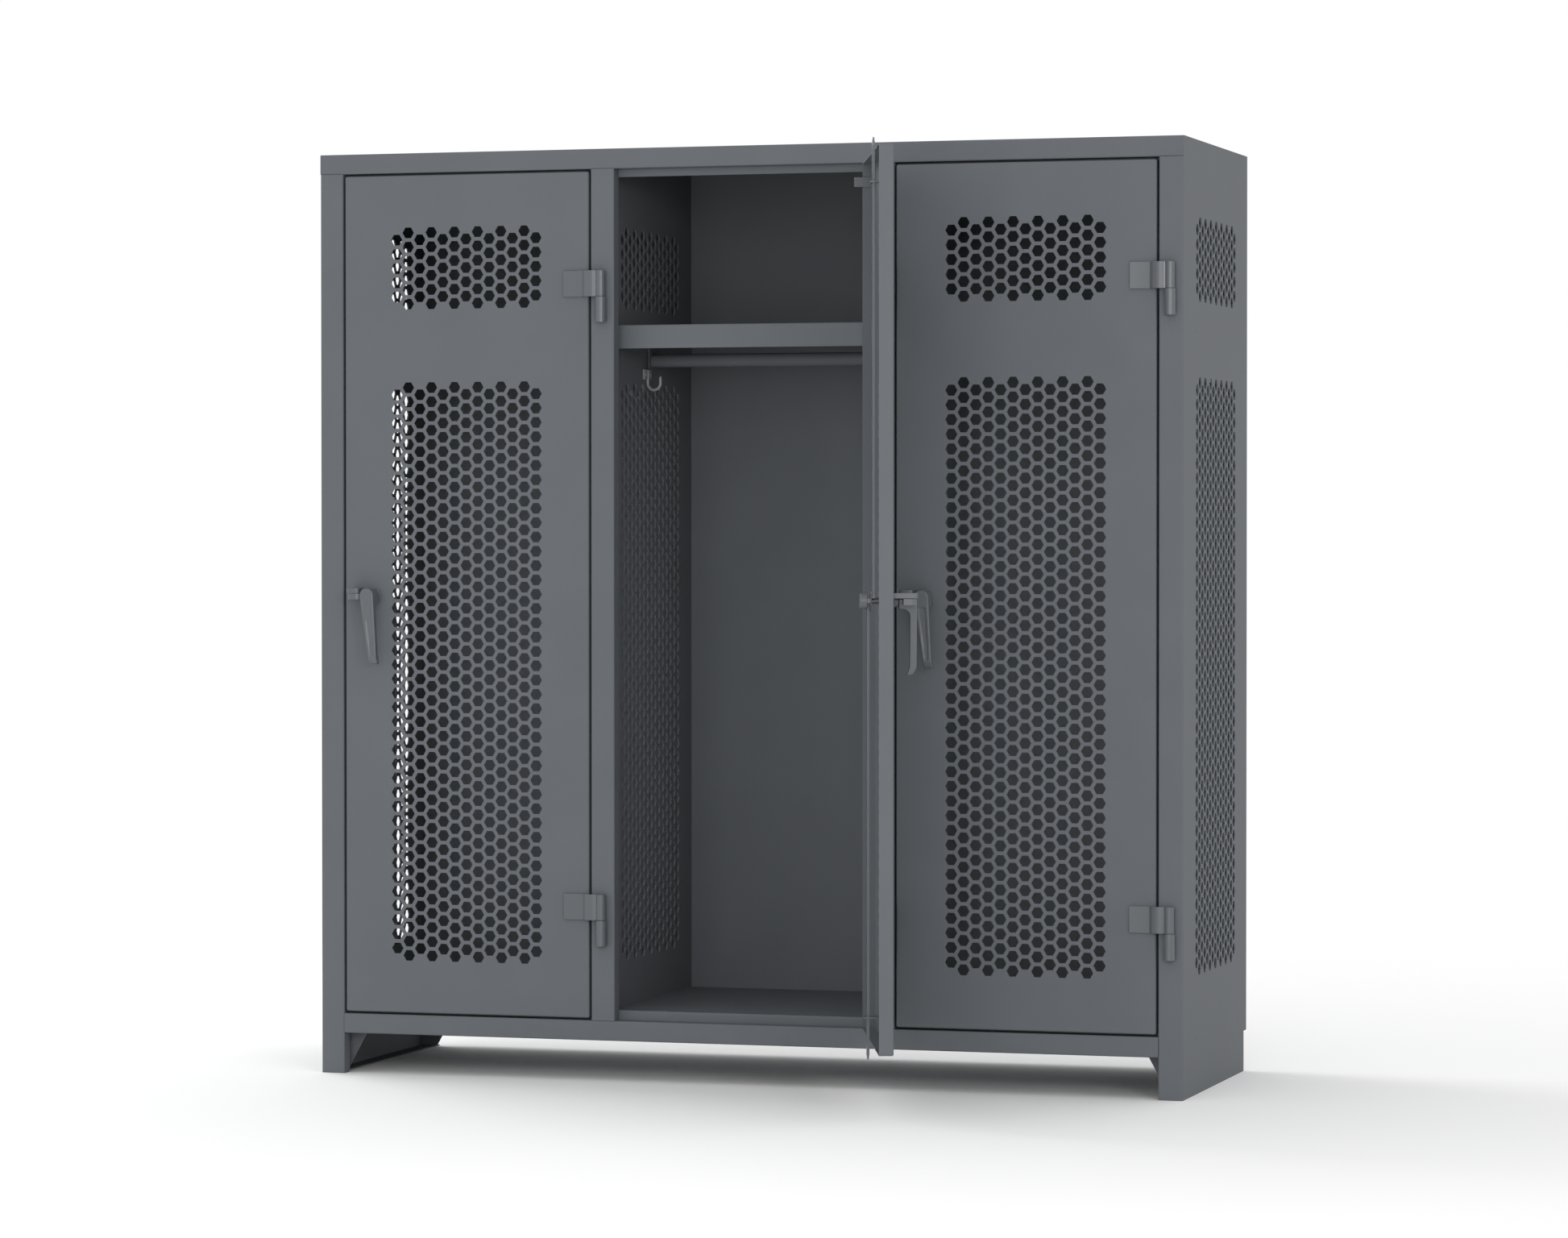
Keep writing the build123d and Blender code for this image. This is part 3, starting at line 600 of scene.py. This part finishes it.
def side_skin(word, side, material):
    """Side sheet, end stile and return, folded from one vented sheet."""
    outer, inner = -SIDE_OUTER, STILE_WIDTH - SIDE_OUTER
    path = [(outer, REAR), (outer, FRONT), (inner, FRONT), (inner, FRONT + STILE_RETURN)]
    runs, total = fold_runs(path)
    stile_top = HEIGHT - HEADER_HEIGHT
    stile_start = REAR - FRONT - SHEET
    outline = [
        (BACK_RECESS, 0.0),
        (total, 0.0),
        (total, stile_top),
        (stile_start, stile_top),
        (stile_start, HEIGHT),
        (0.0, HEIGHT),
        (0.0, FOOT_NOTCH_HEIGHT),
        (BACK_RECESS, FOOT_NOTCH_HEIGHT),
    ]
    creases = []
    for kind, along, length, _, _ in runs:
        if kind == "bend":
            for step in range(BEND_STEPS + 1):
                u = along + length * step / BEND_STEPS
                creases.append([(u, 0.0), (u, HEIGHT if u < stile_start else stile_top)])

    def place(u, v, layer):
        point = on_fold(runs, u, layer * SHEET)
        return point.x, point.y, v

    data = solid_sheet(outline, both_vents(SIDE_COLUMNS, REAR), place, creases)
    data.transform(Matrix.Scale(-side, 4, (1, 0, 0)))
    name, nodes = f"{word}_side_skin", [f"{word}_side_panel"]
    finish_piece(name, data, "carcass", nodes, material, weighted=True)


def foot_flange(word, side, material):
    """Flange under the side sheet, with two anchor holes."""
    edges = sorted((side * (SIDE_OUTER - SHEET), side * (SIDE_OUTER - FOOT_FLANGE)))
    low, high = FRONT + SHEET, REAR - BACK_RECESS
    outline = [(edges[0], low), (edges[1], low), (edges[1], high), (edges[0], high)]
    x = side * (SIDE_OUTER - ANCHOR_INSET)
    holes = [((x, sign * ANCHOR_HALF_SPACING), ANCHOR_RADIUS, CIRCLE_STEPS) for sign in (-1, 1)]
    data = solid_sheet(outline, holes, lambda u, v, layer: (u, v, layer * SHEET))
    finish_piece(f"{word}_foot_flange", data, "carcass", [], material)


def divider_skin(word, material):
    """Flat vented wall, notched for the header."""
    low, high = node_box(f"{word}_divider")
    x = (low.x + high.x) / 2
    notch = FRONT + STRIP_BACK
    strip_bottom = HEIGHT - HEADER_HEIGHT - HEADER_STRIP
    outline = [
        (low.y, low.z),
        (high.y, low.z),
        (high.y, high.z),
        (notch, high.z),
        (notch, strip_bottom),
        (low.y, strip_bottom),
    ]
    holes = both_vents(SIDE_COLUMNS)
    data = solid_sheet(outline, holes, lambda u, v, layer: (x + (layer - 0.5) * SHEET, u, v))
    finish_piece(f"{word}_divider_skin", data, "carcass", [f"{word}_divider"], material)


# Hinges


def bent_strap(points, thickness, bend):
    """Outline of a bent strap, from the line of its right-hand face."""
    near, far = [], []
    last = len(points) - 1
    steps = [(Vector(b) - Vector(a)).normalized() for a, b in zip(points, points[1:])]
    for index, point in enumerate(points):
        step = steps[min(index, last - 1)]
        if index in (0, last):
            near.append(Vector(point))
            far.append(Vector(point) + Vector((-step.y, step.x)) * thickness)
            continue
        before = steps[index - 1]
        turn = math.atan2(before.cross(step), before.dot(step))
        side = math.copysign(1.0, turn)
        radius = bend + (thickness if side > 0 else 0.0)
        left = Vector((-before.y, before.x))
        centre = Vector(point) - before * radius * math.tan(abs(turn) / 2) + left * side * radius
        for share in range(BEND_STEPS + 1):
            outward = left * -side
            outward.rotate(Matrix.Rotation(turn * share / BEND_STEPS, 2))
            near.append(centre + outward * radius)
            far.append(centre + outward * (radius - side * thickness))
    return [tuple(point) for point in near + far[::-1]]


def hinge_leaves(bay, material):
    """The two leaves of a door, each a strap that steps out, crowned, to its knuckle."""
    strap_front = -STAND_OFF - LEAF_THICKNESS / 2
    jog = OPENING / 2 - LEAF_JOG_EDGE
    start, finish = jog + LEAF_JOG_RUN, HINGE_X - LEAF_WELD
    path = [(OPENING / 2 - LEAF_EDGE, -LEAF_THICKNESS), (jog, -LEAF_THICKNESS)]
    for step in range(LEAF_CROWN_STEPS + 1):
        share = step / LEAF_CROWN_STEPS
        rise = LEAF_CROWN * (4 * share * (1 - share) - LEAF_CROWN_SET_BACK)
        path.append((start + (finish - start) * share, strap_front - rise))
    outline = bent_strap(path, LEAF_THICKNESS, LEAF_BEND)
    data = bmesh.new()
    for low in HINGE_HEIGHTS:
        high = low + KNUCKLE_HEIGHT
        loft(data, [[(x, y, z) for x, y in outline] for z in (low, high)])
        profile = bored(BORE_RADIUS, KNUCKLE_RADIUS, low, high, KNUCKLE_EDGE)
        lathe(data, profile, lambda u, v, d: (HINGE_X + u, v - STAND_OFF, d))
    data.transform(door_place(bay))
    body, nodes = f"{bay}_door_body", [f"{bay}_hinge_leaves"]
    finish_piece(f"{bay}_leaves", data, body, nodes, material, bevel=SHEET_EDGE)


def barrels(material):
    """Barrels on the stiles, flat against the stile face."""
    data = bmesh.new()
    for bay in BAYS:
        x = JOINTS[f"{bay}_door_swing"]["pos_m"][0] / SCALE

        def place(u, v, distance):
            return x + u, FRONT + min(v - STAND_OFF, 0.0), distance

        for height in HINGE_HEIGHTS:
            low = height - KNUCKLE_HEIGHT
            high = low + BARREL_HEIGHT
            lathe(data, bored(BORE_RADIUS, BARREL_RADIUS, low, high, KNUCKLE_EDGE), place)
    finish_piece("barrels", data, "carcass", ["hinge_barrels"], material)


# Lever and latch


def in_front(u, v, distance):
    """Point around the spindle, at a distance in front of the door's face."""
    return SPINDLE_X + u, -distance, SPINDLE_HEIGHT + v


def eye_plate(data, inner, right, reach, corner, bottom, thickness):
    """Level plate beside the spindle with round outer corners and the padlock hole."""
    outline = [(-EYE_LEFT, -inner)]
    outline += arc((corner - EYE_LEFT, corner - reach), corner, 180)
    outline += arc((right - corner, corner - reach), corner, 270)
    outline.append((right, -inner))

    def place(x, y, layer):
        return SPINDLE_X + x, y, SPINDLE_HEIGHT + bottom + layer * thickness

    solid_sheet(outline, [(PADLOCK_CENTRE, PADLOCK_RADIUS, CIRCLE_STEPS)], place, data=data)


def hasp(bay, material):
    """Fixed hasp plate beside the lever."""
    data = bmesh.new()
    eye_plate(data, 0.0, -HASP_RIGHT, LEVER_REACH, HASP_CORNER, HASP_BOTTOM, HASP_THICKNESS)
    data.transform(door_place(bay))
    body, nodes = f"{bay}_door_body", [f"{bay}_padlock_hasp"]
    finish_piece(f"{bay}_hasp", data, body, nodes, material, bevel=CAST_EDGE)


def handle_base(bay, material):
    """Round base with the boss that the spindle turns in."""
    profile = [
        (BASE_BORE, 0.0),
        (BASE_RADIUS, 0.0),
        (BASE_RADIUS, BASE_FLANGE - BASE_EDGE),
        (BASE_RADIUS - BASE_EDGE, BASE_FLANGE),
        (BOSS_RADIUS + BASE_EDGE, BASE_FLANGE),
        (BOSS_RADIUS, BASE_FLANGE + BASE_EDGE),
        (BOSS_RADIUS, BASE_HEIGHT - SHEET_EDGE),
        (BOSS_RADIUS - SHEET_EDGE, BASE_HEIGHT),
        (BASE_BORE, BASE_HEIGHT),
    ]
    data = bmesh.new()
    lathe(data, profile, in_front)
    data.transform(door_place(bay))
    finish_piece(f"{bay}_base", data, f"{bay}_door_body", [f"{bay}_handle_base"], material)


def inset_in(point, outline):
    """How far a point lies inside a convex anticlockwise outline, below zero outside it."""
    x, y = point
    least = math.inf
    for (x0, y0), (x1, y1) in zip(outline, outline[1:] + outline[:1]):
        across = (x1 - x0) * (y - y0) - (y1 - y0) * (x - x0)
        least = min(least, across / math.hypot(x1 - x0, y1 - y0))
    return least


def lever_outline():
    """Front outline of the lever: a round top that narrows to a blunt end."""
    corner = LEVER_END_HALF - LEVER_END_CORNER
    points = ring((0.0, 0.0), LEVER_TOP_RADIUS, 2 * CIRCLE_STEPS)
    for across in (LEVER_SLANT - corner, LEVER_SLANT + corner):
        points += ring((across, LEVER_END_CORNER - LEVER_LENGTH), LEVER_END_CORNER)
    return hull(points)


def recess_outline():
    """Outline of the bare recess in the lever's face."""
    slope = LEVER_SLANT / LEVER_LENGTH
    points = []
    for drop, radius in RECESS_ENDS:
        points += ring((slope * drop, -drop), radius)
    return hull(points)


def lever_span(outline, v):
    """Left and right limits of the lever's outline at a height."""
    crossings = []
    for (x0, y0), (x1, y1) in zip(outline, outline[1:] + outline[:1]):
        if (y0 > v) != (y1 > v):
            crossings.append(x0 + (x1 - x0) * (v - y0) / (y1 - y0))
    return min(crossings), max(crossings)


def lever_depths(v):
    """Back and front distances of the lever from the door's face at a height."""
    neck_low = -LEVER_TOP_RADIUS - LEVER_NECK
    hook_top = LEVER_HOOK_LENGTH - LEVER_LENGTH
    if v > -LEVER_TOP_RADIUS:
        return HUB_FACE, LEVER_REACH
    if v > neck_low:
        curve = math.sqrt(LEVER_NECK**2 - (v - neck_low) ** 2)
        return LEVER_BACK - LEVER_NECK + curve, LEVER_REACH
    if v > hook_top:
        return LEVER_BACK, LEVER_REACH
    share = min((hook_top - v) / LEVER_HOOK_LENGTH, 1.0)
    bend = LEVER_HOOK * share**LEVER_HOOK_POWER
    heel = LEVER_HEEL * (1 - math.sqrt(1 - share * share))
    return LEVER_BACK - bend, LEVER_REACH - bend - heel


def round_off(inset, edge):
    """Drop of a surface near its outline, for an edge of a radius."""
    near = max(edge - max(inset, 0.0), 0.0)
    return edge - math.sqrt(edge * edge - near * near)


def lever_ring(outline, recess, v):
    """Cross-section of the lever at a height: round edges, and the bare recess in front."""
    left, right = lever_span(outline, v)
    back, front = lever_depths(v)
    limit = (front - back) * LEVER_EDGE_SHARE
    fronts, backs = [], []
    for step in range(LEVER_RING_STEPS + 1):
        u = right + (left - right) * (1 - math.cos(math.pi * step / LEVER_RING_STEPS)) / 2
        inset = inset_in((u, v), outline)
        share = min(max(inset_in((u, v), recess) / RECESS_SLOPE, 0.0), 1.0)
        depth = front - round_off(inset, min(LEVER_FRONT_EDGE, limit))
        fronts.append(in_front(u, v, depth - RECESS_DEPTH * share * share * (3 - 2 * share)))
        backs.append(in_front(u, v, back + round_off(inset, min(LEVER_BACK_EDGE, limit))))
    return fronts + backs[::-1]


def lever_levels():
    """Heights of the lever's cross-sections, closer where it is round."""
    neck_low = -LEVER_TOP_RADIUS - LEVER_NECK
    end_top = LEVER_END_CORNER - LEVER_LENGTH
    levels = [LEVER_TOP_RADIUS * math.cos(math.radians(a)) for a in LEVER_TOP_ANGLES]
    levels += [neck_low + LEVER_NECK * math.sin(math.radians(a)) for a in LEVER_NECK_ANGLES]
    for step in range(1, LEVER_SHANK_STEPS + 1):
        levels.append(neck_low + (end_top - neck_low) * step / LEVER_SHANK_STEPS)
    levels += [end_top - LEVER_END_CORNER * math.sin(math.radians(a)) for a in LEVER_END_ANGLES]
    return levels


def lever(bay, material):
    """Cast lever with its hub, neck, hooked end and padlock tab."""
    outline, recess = lever_outline(), recess_outline()
    data = bmesh.new()
    loft(data, [lever_ring(outline, recess, v) for v in lever_levels()])
    reach = LEVER_REACH - TAB_SET_BACK
    eye_plate(data, TAB_INNER, -TAB_RIGHT, reach, TAB_CORNER, TAB_BOTTOM, TAB_THICKNESS)
    data.transform(door_place(bay))
    name, body, nodes = f"{bay}_cast_lever", f"{bay}_lever_body", [f"{bay}_lever"]
    finish_piece(name, data, body, nodes, material, bevel=CAST_EDGE, sharp=CAST_SHARP_ANGLE)


def cam(bay, material):
    """Cam plate with its two pins, and the cupped head on the spindle's end."""
    eyes = [(-CAM_PIN_OFFSET, CAM_PIN_OFFSET), (CAM_PIN_OFFSET, -CAM_PIN_OFFSET)]
    points = ring((0.0, 0.0), CAM_HUB_RADIUS)
    for eye in eyes:
        points += ring(eye, CAM_EYE_RADIUS)
    cam_back = CAM_FRONT + CAM_THICKNESS
    reach = BOLT_THICKNESS + BOLT_CLEARANCE + CAM_PIN_PROUD
    bore = ((0.0, 0.0), SPINDLE_RADIUS, CIRCLE_STEPS)
    plates = [
        (hull(points), [bore], CAM_FRONT, cam_back),
        (ring(eyes[0], CAM_PIN_RADIUS), [], CAM_FRONT - reach, CAM_FRONT),
        (ring(eyes[1], CAM_PIN_RADIUS), [], cam_back, cam_back + reach),
    ]
    data = bmesh.new()
    for outline, holes, *depths in plates:
        solid_sheet(outline, holes, lambda u, v, layer: in_front(u, v, -depths[layer]), data=data)
    low = cam_back + BOLT_THICKNESS + 2 * BOLT_CLEARANCE
    high = low + HEAD_LENGTH
    profile = [
        (SPINDLE_RADIUS, low),
        (HEAD_RADIUS - HEAD_EDGE, low),
        (HEAD_RADIUS, low + HEAD_EDGE),
        (HEAD_RADIUS, high - HEAD_EDGE),
        (HEAD_RADIUS - HEAD_EDGE, high),
        (HEAD_CUP + HEAD_EDGE, high),
        (HEAD_CUP, high - HEAD_EDGE),
        (HEAD_CUP, high - HEAD_CUP_DEPTH),
        (SPINDLE_RADIUS, high - HEAD_CUP_DEPTH),
    ]
    lathe(data, profile, lambda u, v, distance: in_front(u, v, -distance))
    data.transform(door_place(bay))
    finish_piece(f"{bay}_cam", data, f"{bay}_lever_body", [f"{bay}_latch_cam"], material)


# Rods and hooks


def rod(bay, material):
    """Round hanging tube."""
    low, high = node_box(f"{bay}_hanging_rod")
    inner = ROD_RADIUS - ROD_WALL
    profile = [(inner, low.x), (ROD_RADIUS, low.x), (ROD_RADIUS, high.x), (inner, high.x)]
    data = bmesh.new()
    lathe(data, profile, lambda u, v, distance: (distance, u, ROD_HEIGHT + v))
    finish_piece(f"{bay}_rod", data, "carcass", [f"{bay}_hanging_rod"], material)


def bay_walls(bay):
    """X of the two wall faces that a bay lies between."""
    edges = [SHEET - SIDE_OUTER]
    for word in SIDES:
        low, high = node_box(f"{word}_divider")
        edges += [low.x, high.x]
    edges.append(SIDE_OUTER - SHEET)
    start = 2 * BAYS.index(bay)
    return edges[start], edges[start + 1]


def rod_plates(material):
    """Plates that carry the rods, with round holes."""
    low, high = node_box("rod_brackets")
    outline = [(low.y, low.z), (high.y, low.z), (high.y, high.z), (low.y, high.z)]
    holes = [((0.0, ROD_HEIGHT), ROD_RADIUS + ROD_CLEARANCE, CIRCLE_STEPS)]
    data = bmesh.new()
    for bay in BAYS:
        left, right = bay_walls(bay)
        for start in (left + SHEET, right - 2 * SHEET):

            def place(u, v, layer):
                return start + layer * SHEET, u, v

            solid_sheet(outline, holes, place, data=data)
    finish_piece("rod_plates", data, "carcass", ["rod_brackets"], material)


def domed(data, centre, radius, base, proud, place):
    """Low round spot that stands proud of a face. Place maps (distance, u, v)."""
    rings = []
    for height, share in DOME_RINGS:
        spot = ring(centre, radius * share, SMALL_CIRCLE_STEPS)
        rings.append([place(base + proud * height, u, v) for u, v in spot])
    loft(data, rings)


def hook_wire(data, place):
    """Round wire of one hook, from its plate down, round the bowl and up to its rounded tip."""
    bottom = HOOK_TOP - HOOK_DROP
    low = bottom + HOOK_WIRE + HOOK_BOWL
    tip = bottom + HOOK_TIP_RISE - HOOK_WIRE
    line = [(HOOK_STEM, HOOK_TOP - HOOK_WIRE / 2, 0.0, 1.0)]
    for step in range(HOOK_BOWL_STEPS + 1):
        angle = math.pi * step / HOOK_BOWL_STEPS
        x = HOOK_STEM + HOOK_BOWL * (1 - math.cos(angle))
        line.append((x, low - HOOK_BOWL * math.sin(angle), angle, 1.0))
    for degrees in HOOK_TIP_ANGLES:
        angle = math.radians(degrees)
        x = HOOK_STEM + 2 * HOOK_BOWL
        line.append((x, tip + HOOK_WIRE * math.sin(angle), math.pi, math.cos(angle)))
    rings = []
    for x, z, turn, size in line:
        points = []
        for u, v in ring((0.0, 0.0), HOOK_WIRE * size, SMALL_CIRCLE_STEPS):
            points.append(place(x - u * math.cos(turn), v, z - u * math.sin(turn)))
        rings.append(points)
    loft(data, rings)


def hooks(material):
    """Wall hooks on screwed plates, one on each wall face of each bay."""
    low, half = HOOK_TOP - HOOK_PLATE_HEIGHT, HOOK_PLATE_WIDTH / 2
    data = bmesh.new()
    for bay in BAYS:
        for wall, sign, drop in zip(bay_walls(bay), (1, -1), (0.0, RIGHT_HOOK_DROP)):

            def place(x, y, z):
                return wall + sign * x, y - HOOK_FORWARD, z - drop

            hook_wire(data, place)
            rings = []
            shoulder = HOOK_PLATE - SHEET_EDGE
            for x, inset in ((0.0, 0.0), (shoulder, 0.0), (HOOK_PLATE, SHEET_EDGE)):
                ys, zs = (-half + inset, half - inset), (low + inset, HOOK_TOP - inset)
                corners = ((ys[0], zs[0]), (ys[1], zs[0]), (ys[1], zs[1]), (ys[0], zs[1]))
                rings.append([place(x, y, z) for y, z in corners])
            loft(data, rings)
            for across in (-SCREW_OFFSET, SCREW_OFFSET):
                centre = (across, (low + HOOK_TOP) / 2)
                domed(data, centre, SCREW_RADIUS, HOOK_PLATE, SCREW_PROUD, place)
    finish_piece("hooks", data, "carcass", ["coat_hooks"], material)


def weld_spots(material):
    """Low round weld spots on the outside of the side panels."""
    data = bmesh.new()
    for side in SIDES.values():

        def place(distance, u, v):
            return side * (SIDE_OUTER + distance), u, v

        for y in WELD_DEPTHS:
            for z in WELD_HEIGHTS:
                domed(data, (y, z), WELD_RADIUS, 0.0, WELD_PROUD, place)
    finish_piece("weld_spots", data, "carcass", [], material)


# Studio


def seen_directly(tree):
    """One for rays from the camera and mirror rays, else zero."""
    path = tree.nodes.new("ShaderNodeLightPath")
    either = tree.nodes.new("ShaderNodeMath")
    either.operation = "MAXIMUM"
    tree.links.new(path.outputs["Is Camera Ray"], either.inputs[0])
    tree.links.new(path.outputs["Is Glossy Ray"], either.inputs[1])
    return either.outputs["Value"]


def mixed(tree, factor, first, second, target):
    """Sends a mix of two shaders to an output."""
    mix = tree.nodes.new("ShaderNodeMixShader")
    tree.links.new(factor, mix.inputs["Fac"])
    tree.links.new(first, mix.inputs[1])
    tree.links.new(second, mix.inputs[2])
    tree.links.new(mix.outputs["Shader"], target.inputs["Surface"])


def world():
    """White surroundings that light the locker a little less than they show."""
    surroundings = bpy.data.worlds.new("studio")
    bpy.context.scene.world = surroundings
    surroundings.use_nodes = True
    tree = surroundings.node_tree
    ambient = tree.nodes["Background"]
    ambient.inputs["Color"].default_value = WHITE
    ambient.inputs["Strength"].default_value = WORLD_STRENGTH
    shown = tree.nodes.new("ShaderNodeBackground")
    shown.inputs["Color"].default_value = WHITE
    outputs = [node.outputs["Background"] for node in (ambient, shown)]
    mixed(tree, seen_directly(tree), *outputs, tree.nodes["World Output"])


def floor():
    """Pale floor that keeps the shadow near the locker and goes over to white further out."""
    data = bmesh.new()
    bmesh.ops.create_grid(data, x_segments=1, y_segments=1, size=FLOOR_SIZE)
    mesh = bpy.data.meshes.new("floor")
    data.to_mesh(mesh)
    data.free()
    material, tree, shader, place = new_material("floor_white")
    shader.inputs["Base Color"].default_value = FLOOR_COLOUR
    shader.inputs["Roughness"].default_value = FLOOR_ROUGHNESS
    shader.inputs["Specular IOR Level"].default_value = FLOOR_GLOSS
    length = tree.nodes.new("ShaderNodeVectorMath")
    length.operation = "LENGTH"
    tree.links.new(place.outputs["Object"], length.inputs[0])
    fade = tree.nodes.new("ShaderNodeMapRange")
    fade.interpolation_type = "SMOOTHSTEP"
    fade.inputs["From Min"].default_value = FADE_START
    fade.inputs["From Max"].default_value = FADE_END
    tree.links.new(length.outputs["Value"], fade.inputs["Value"])
    share = tree.nodes.new("ShaderNodeMath")
    share.operation = "MULTIPLY"
    tree.links.new(fade.outputs["Result"], share.inputs[0])
    tree.links.new(seen_directly(tree), share.inputs[1])
    glow = tree.nodes.new("ShaderNodeEmission")
    outputs = (shader.outputs["BSDF"], glow.outputs["Emission"])
    mixed(tree, share.outputs["Value"], *outputs, tree.nodes["Material Output"])
    mesh.materials.append(material)
    piece = bpy.data.objects.new("floor", mesh)
    bpy.context.scene.collection.objects.link(piece)


def lamp(name, place, size, power):
    """A square soft box aimed at the middle of the locker."""
    light = bpy.data.lights.new(name, "AREA")
    light.shape = "SQUARE"
    light.size = size
    light.energy = power
    piece = bpy.data.objects.new(name, light)
    piece.location = place
    aim = Vector(LAMP_AIM) - Vector(place)
    piece.rotation_euler = aim.to_track_quat("-Z", "Y").to_euler()
    bpy.context.scene.collection.objects.link(piece)


def camera():
    """The camera of the photograph."""
    data = bpy.data.cameras.new("camera")
    data.sensor_width = SENSOR_WIDTH
    data.sensor_fit = "HORIZONTAL"
    data.lens = CAMERA_LENS
    data.clip_end = CLIP_END
    piece = bpy.data.objects.new("camera", data)
    piece.location = CAMERA_PLACE
    turn = (math.radians(90 - CAMERA_PITCH), math.radians(CAMERA_ROLL), math.radians(CAMERA_YAW))
    piece.rotation_euler = Euler(turn, "XYZ")
    bpy.context.scene.collection.objects.link(piece)
    bpy.context.scene.camera = piece


# Places read from the frame


def node_box(name):
    """Low and high corners of a CAD node."""
    return [Vector(corner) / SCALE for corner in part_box(name)]


SIDE_LOW, SIDE_HIGH = node_box("right_side_panel")
DOOR_CORNER, DOOR_FAR_CORNER = node_box("left_door")
LEAF_LOW, LEAF_HIGH = node_box("left_hinge_leaves")
SIDE_OUTER = SIDE_HIGH.x
FRONT = SIDE_LOW.y
REAR = SIDE_HIGH.y
HEIGHT = SIDE_HIGH.z
DOOR_WIDTH = DOOR_FAR_CORNER.x - DOOR_CORNER.x
DOOR_LOW = DOOR_CORNER.z
DOOR_HIGH = DOOR_FAR_CORNER.z
OPENING = (2 * SIDE_OUTER - (len(BAYS) + 1) * STILE_WIDTH) / len(BAYS)
HINGE_X = (OPENING + STILE_WIDTH) / 2
SPINDLE_X = SPINDLE_INSET - DOOR_WIDTH / 2
HINGE_HEIGHTS = (LEAF_LOW.z, LEAF_HIGH.z - KNUCKLE_HEIGHT)


def dress():
    """Materials and edges on the CAD pieces, and the finer pieces that stand for some of them."""
    grey = powder_coat("grey_coat", *GREY_COAT)
    glossy = powder_coat("glossy_coat", *GLOSSY_COAT)
    pale = powder_coat("pale_coat", *PALE_COAT)
    steel = bare_steel("turned_steel")
    for name, piece in NODES.items():
        material = grey
        if name == "hinge_pins" or name.endswith("_spindle"):
            material = steel
        elif name.endswith(("_bolt", "_guides", "_lug")):
            material = glossy
        piece.data.materials.clear()
        piece.data.materials.append(material)
        if name.endswith("_bolt"):
            soften(piece, BOLT_EDGE)
        elif name.endswith(("_shelf", "_guides", "_lug", "_stile", "_panel", "_rail", "gussets")):
            soften(piece, SHEET_EDGE)
    for bay in BAYS:
        door_skin(bay, grey)
        rod(bay, grey)
        for build in (hinge_leaves, hasp, handle_base, lever, cam):
            build(bay, glossy)
    for word, side in SIDES.items():
        side_skin(word, side, grey)
        foot_flange(word, side, grey)
    for word in SIDES:
        divider_skin(word, grey)
    rod_plates(grey)
    weld_spots(grey)
    barrels(glossy)
    hooks(pale)


dress()
world()
floor()
for lamp_name, (lamp_place, lamp_size, lamp_power) in LAMPS.items():
    lamp(lamp_name, lamp_place, lamp_size, lamp_power)
camera()
bpy.context.scene.view_settings.view_transform = "Standard"
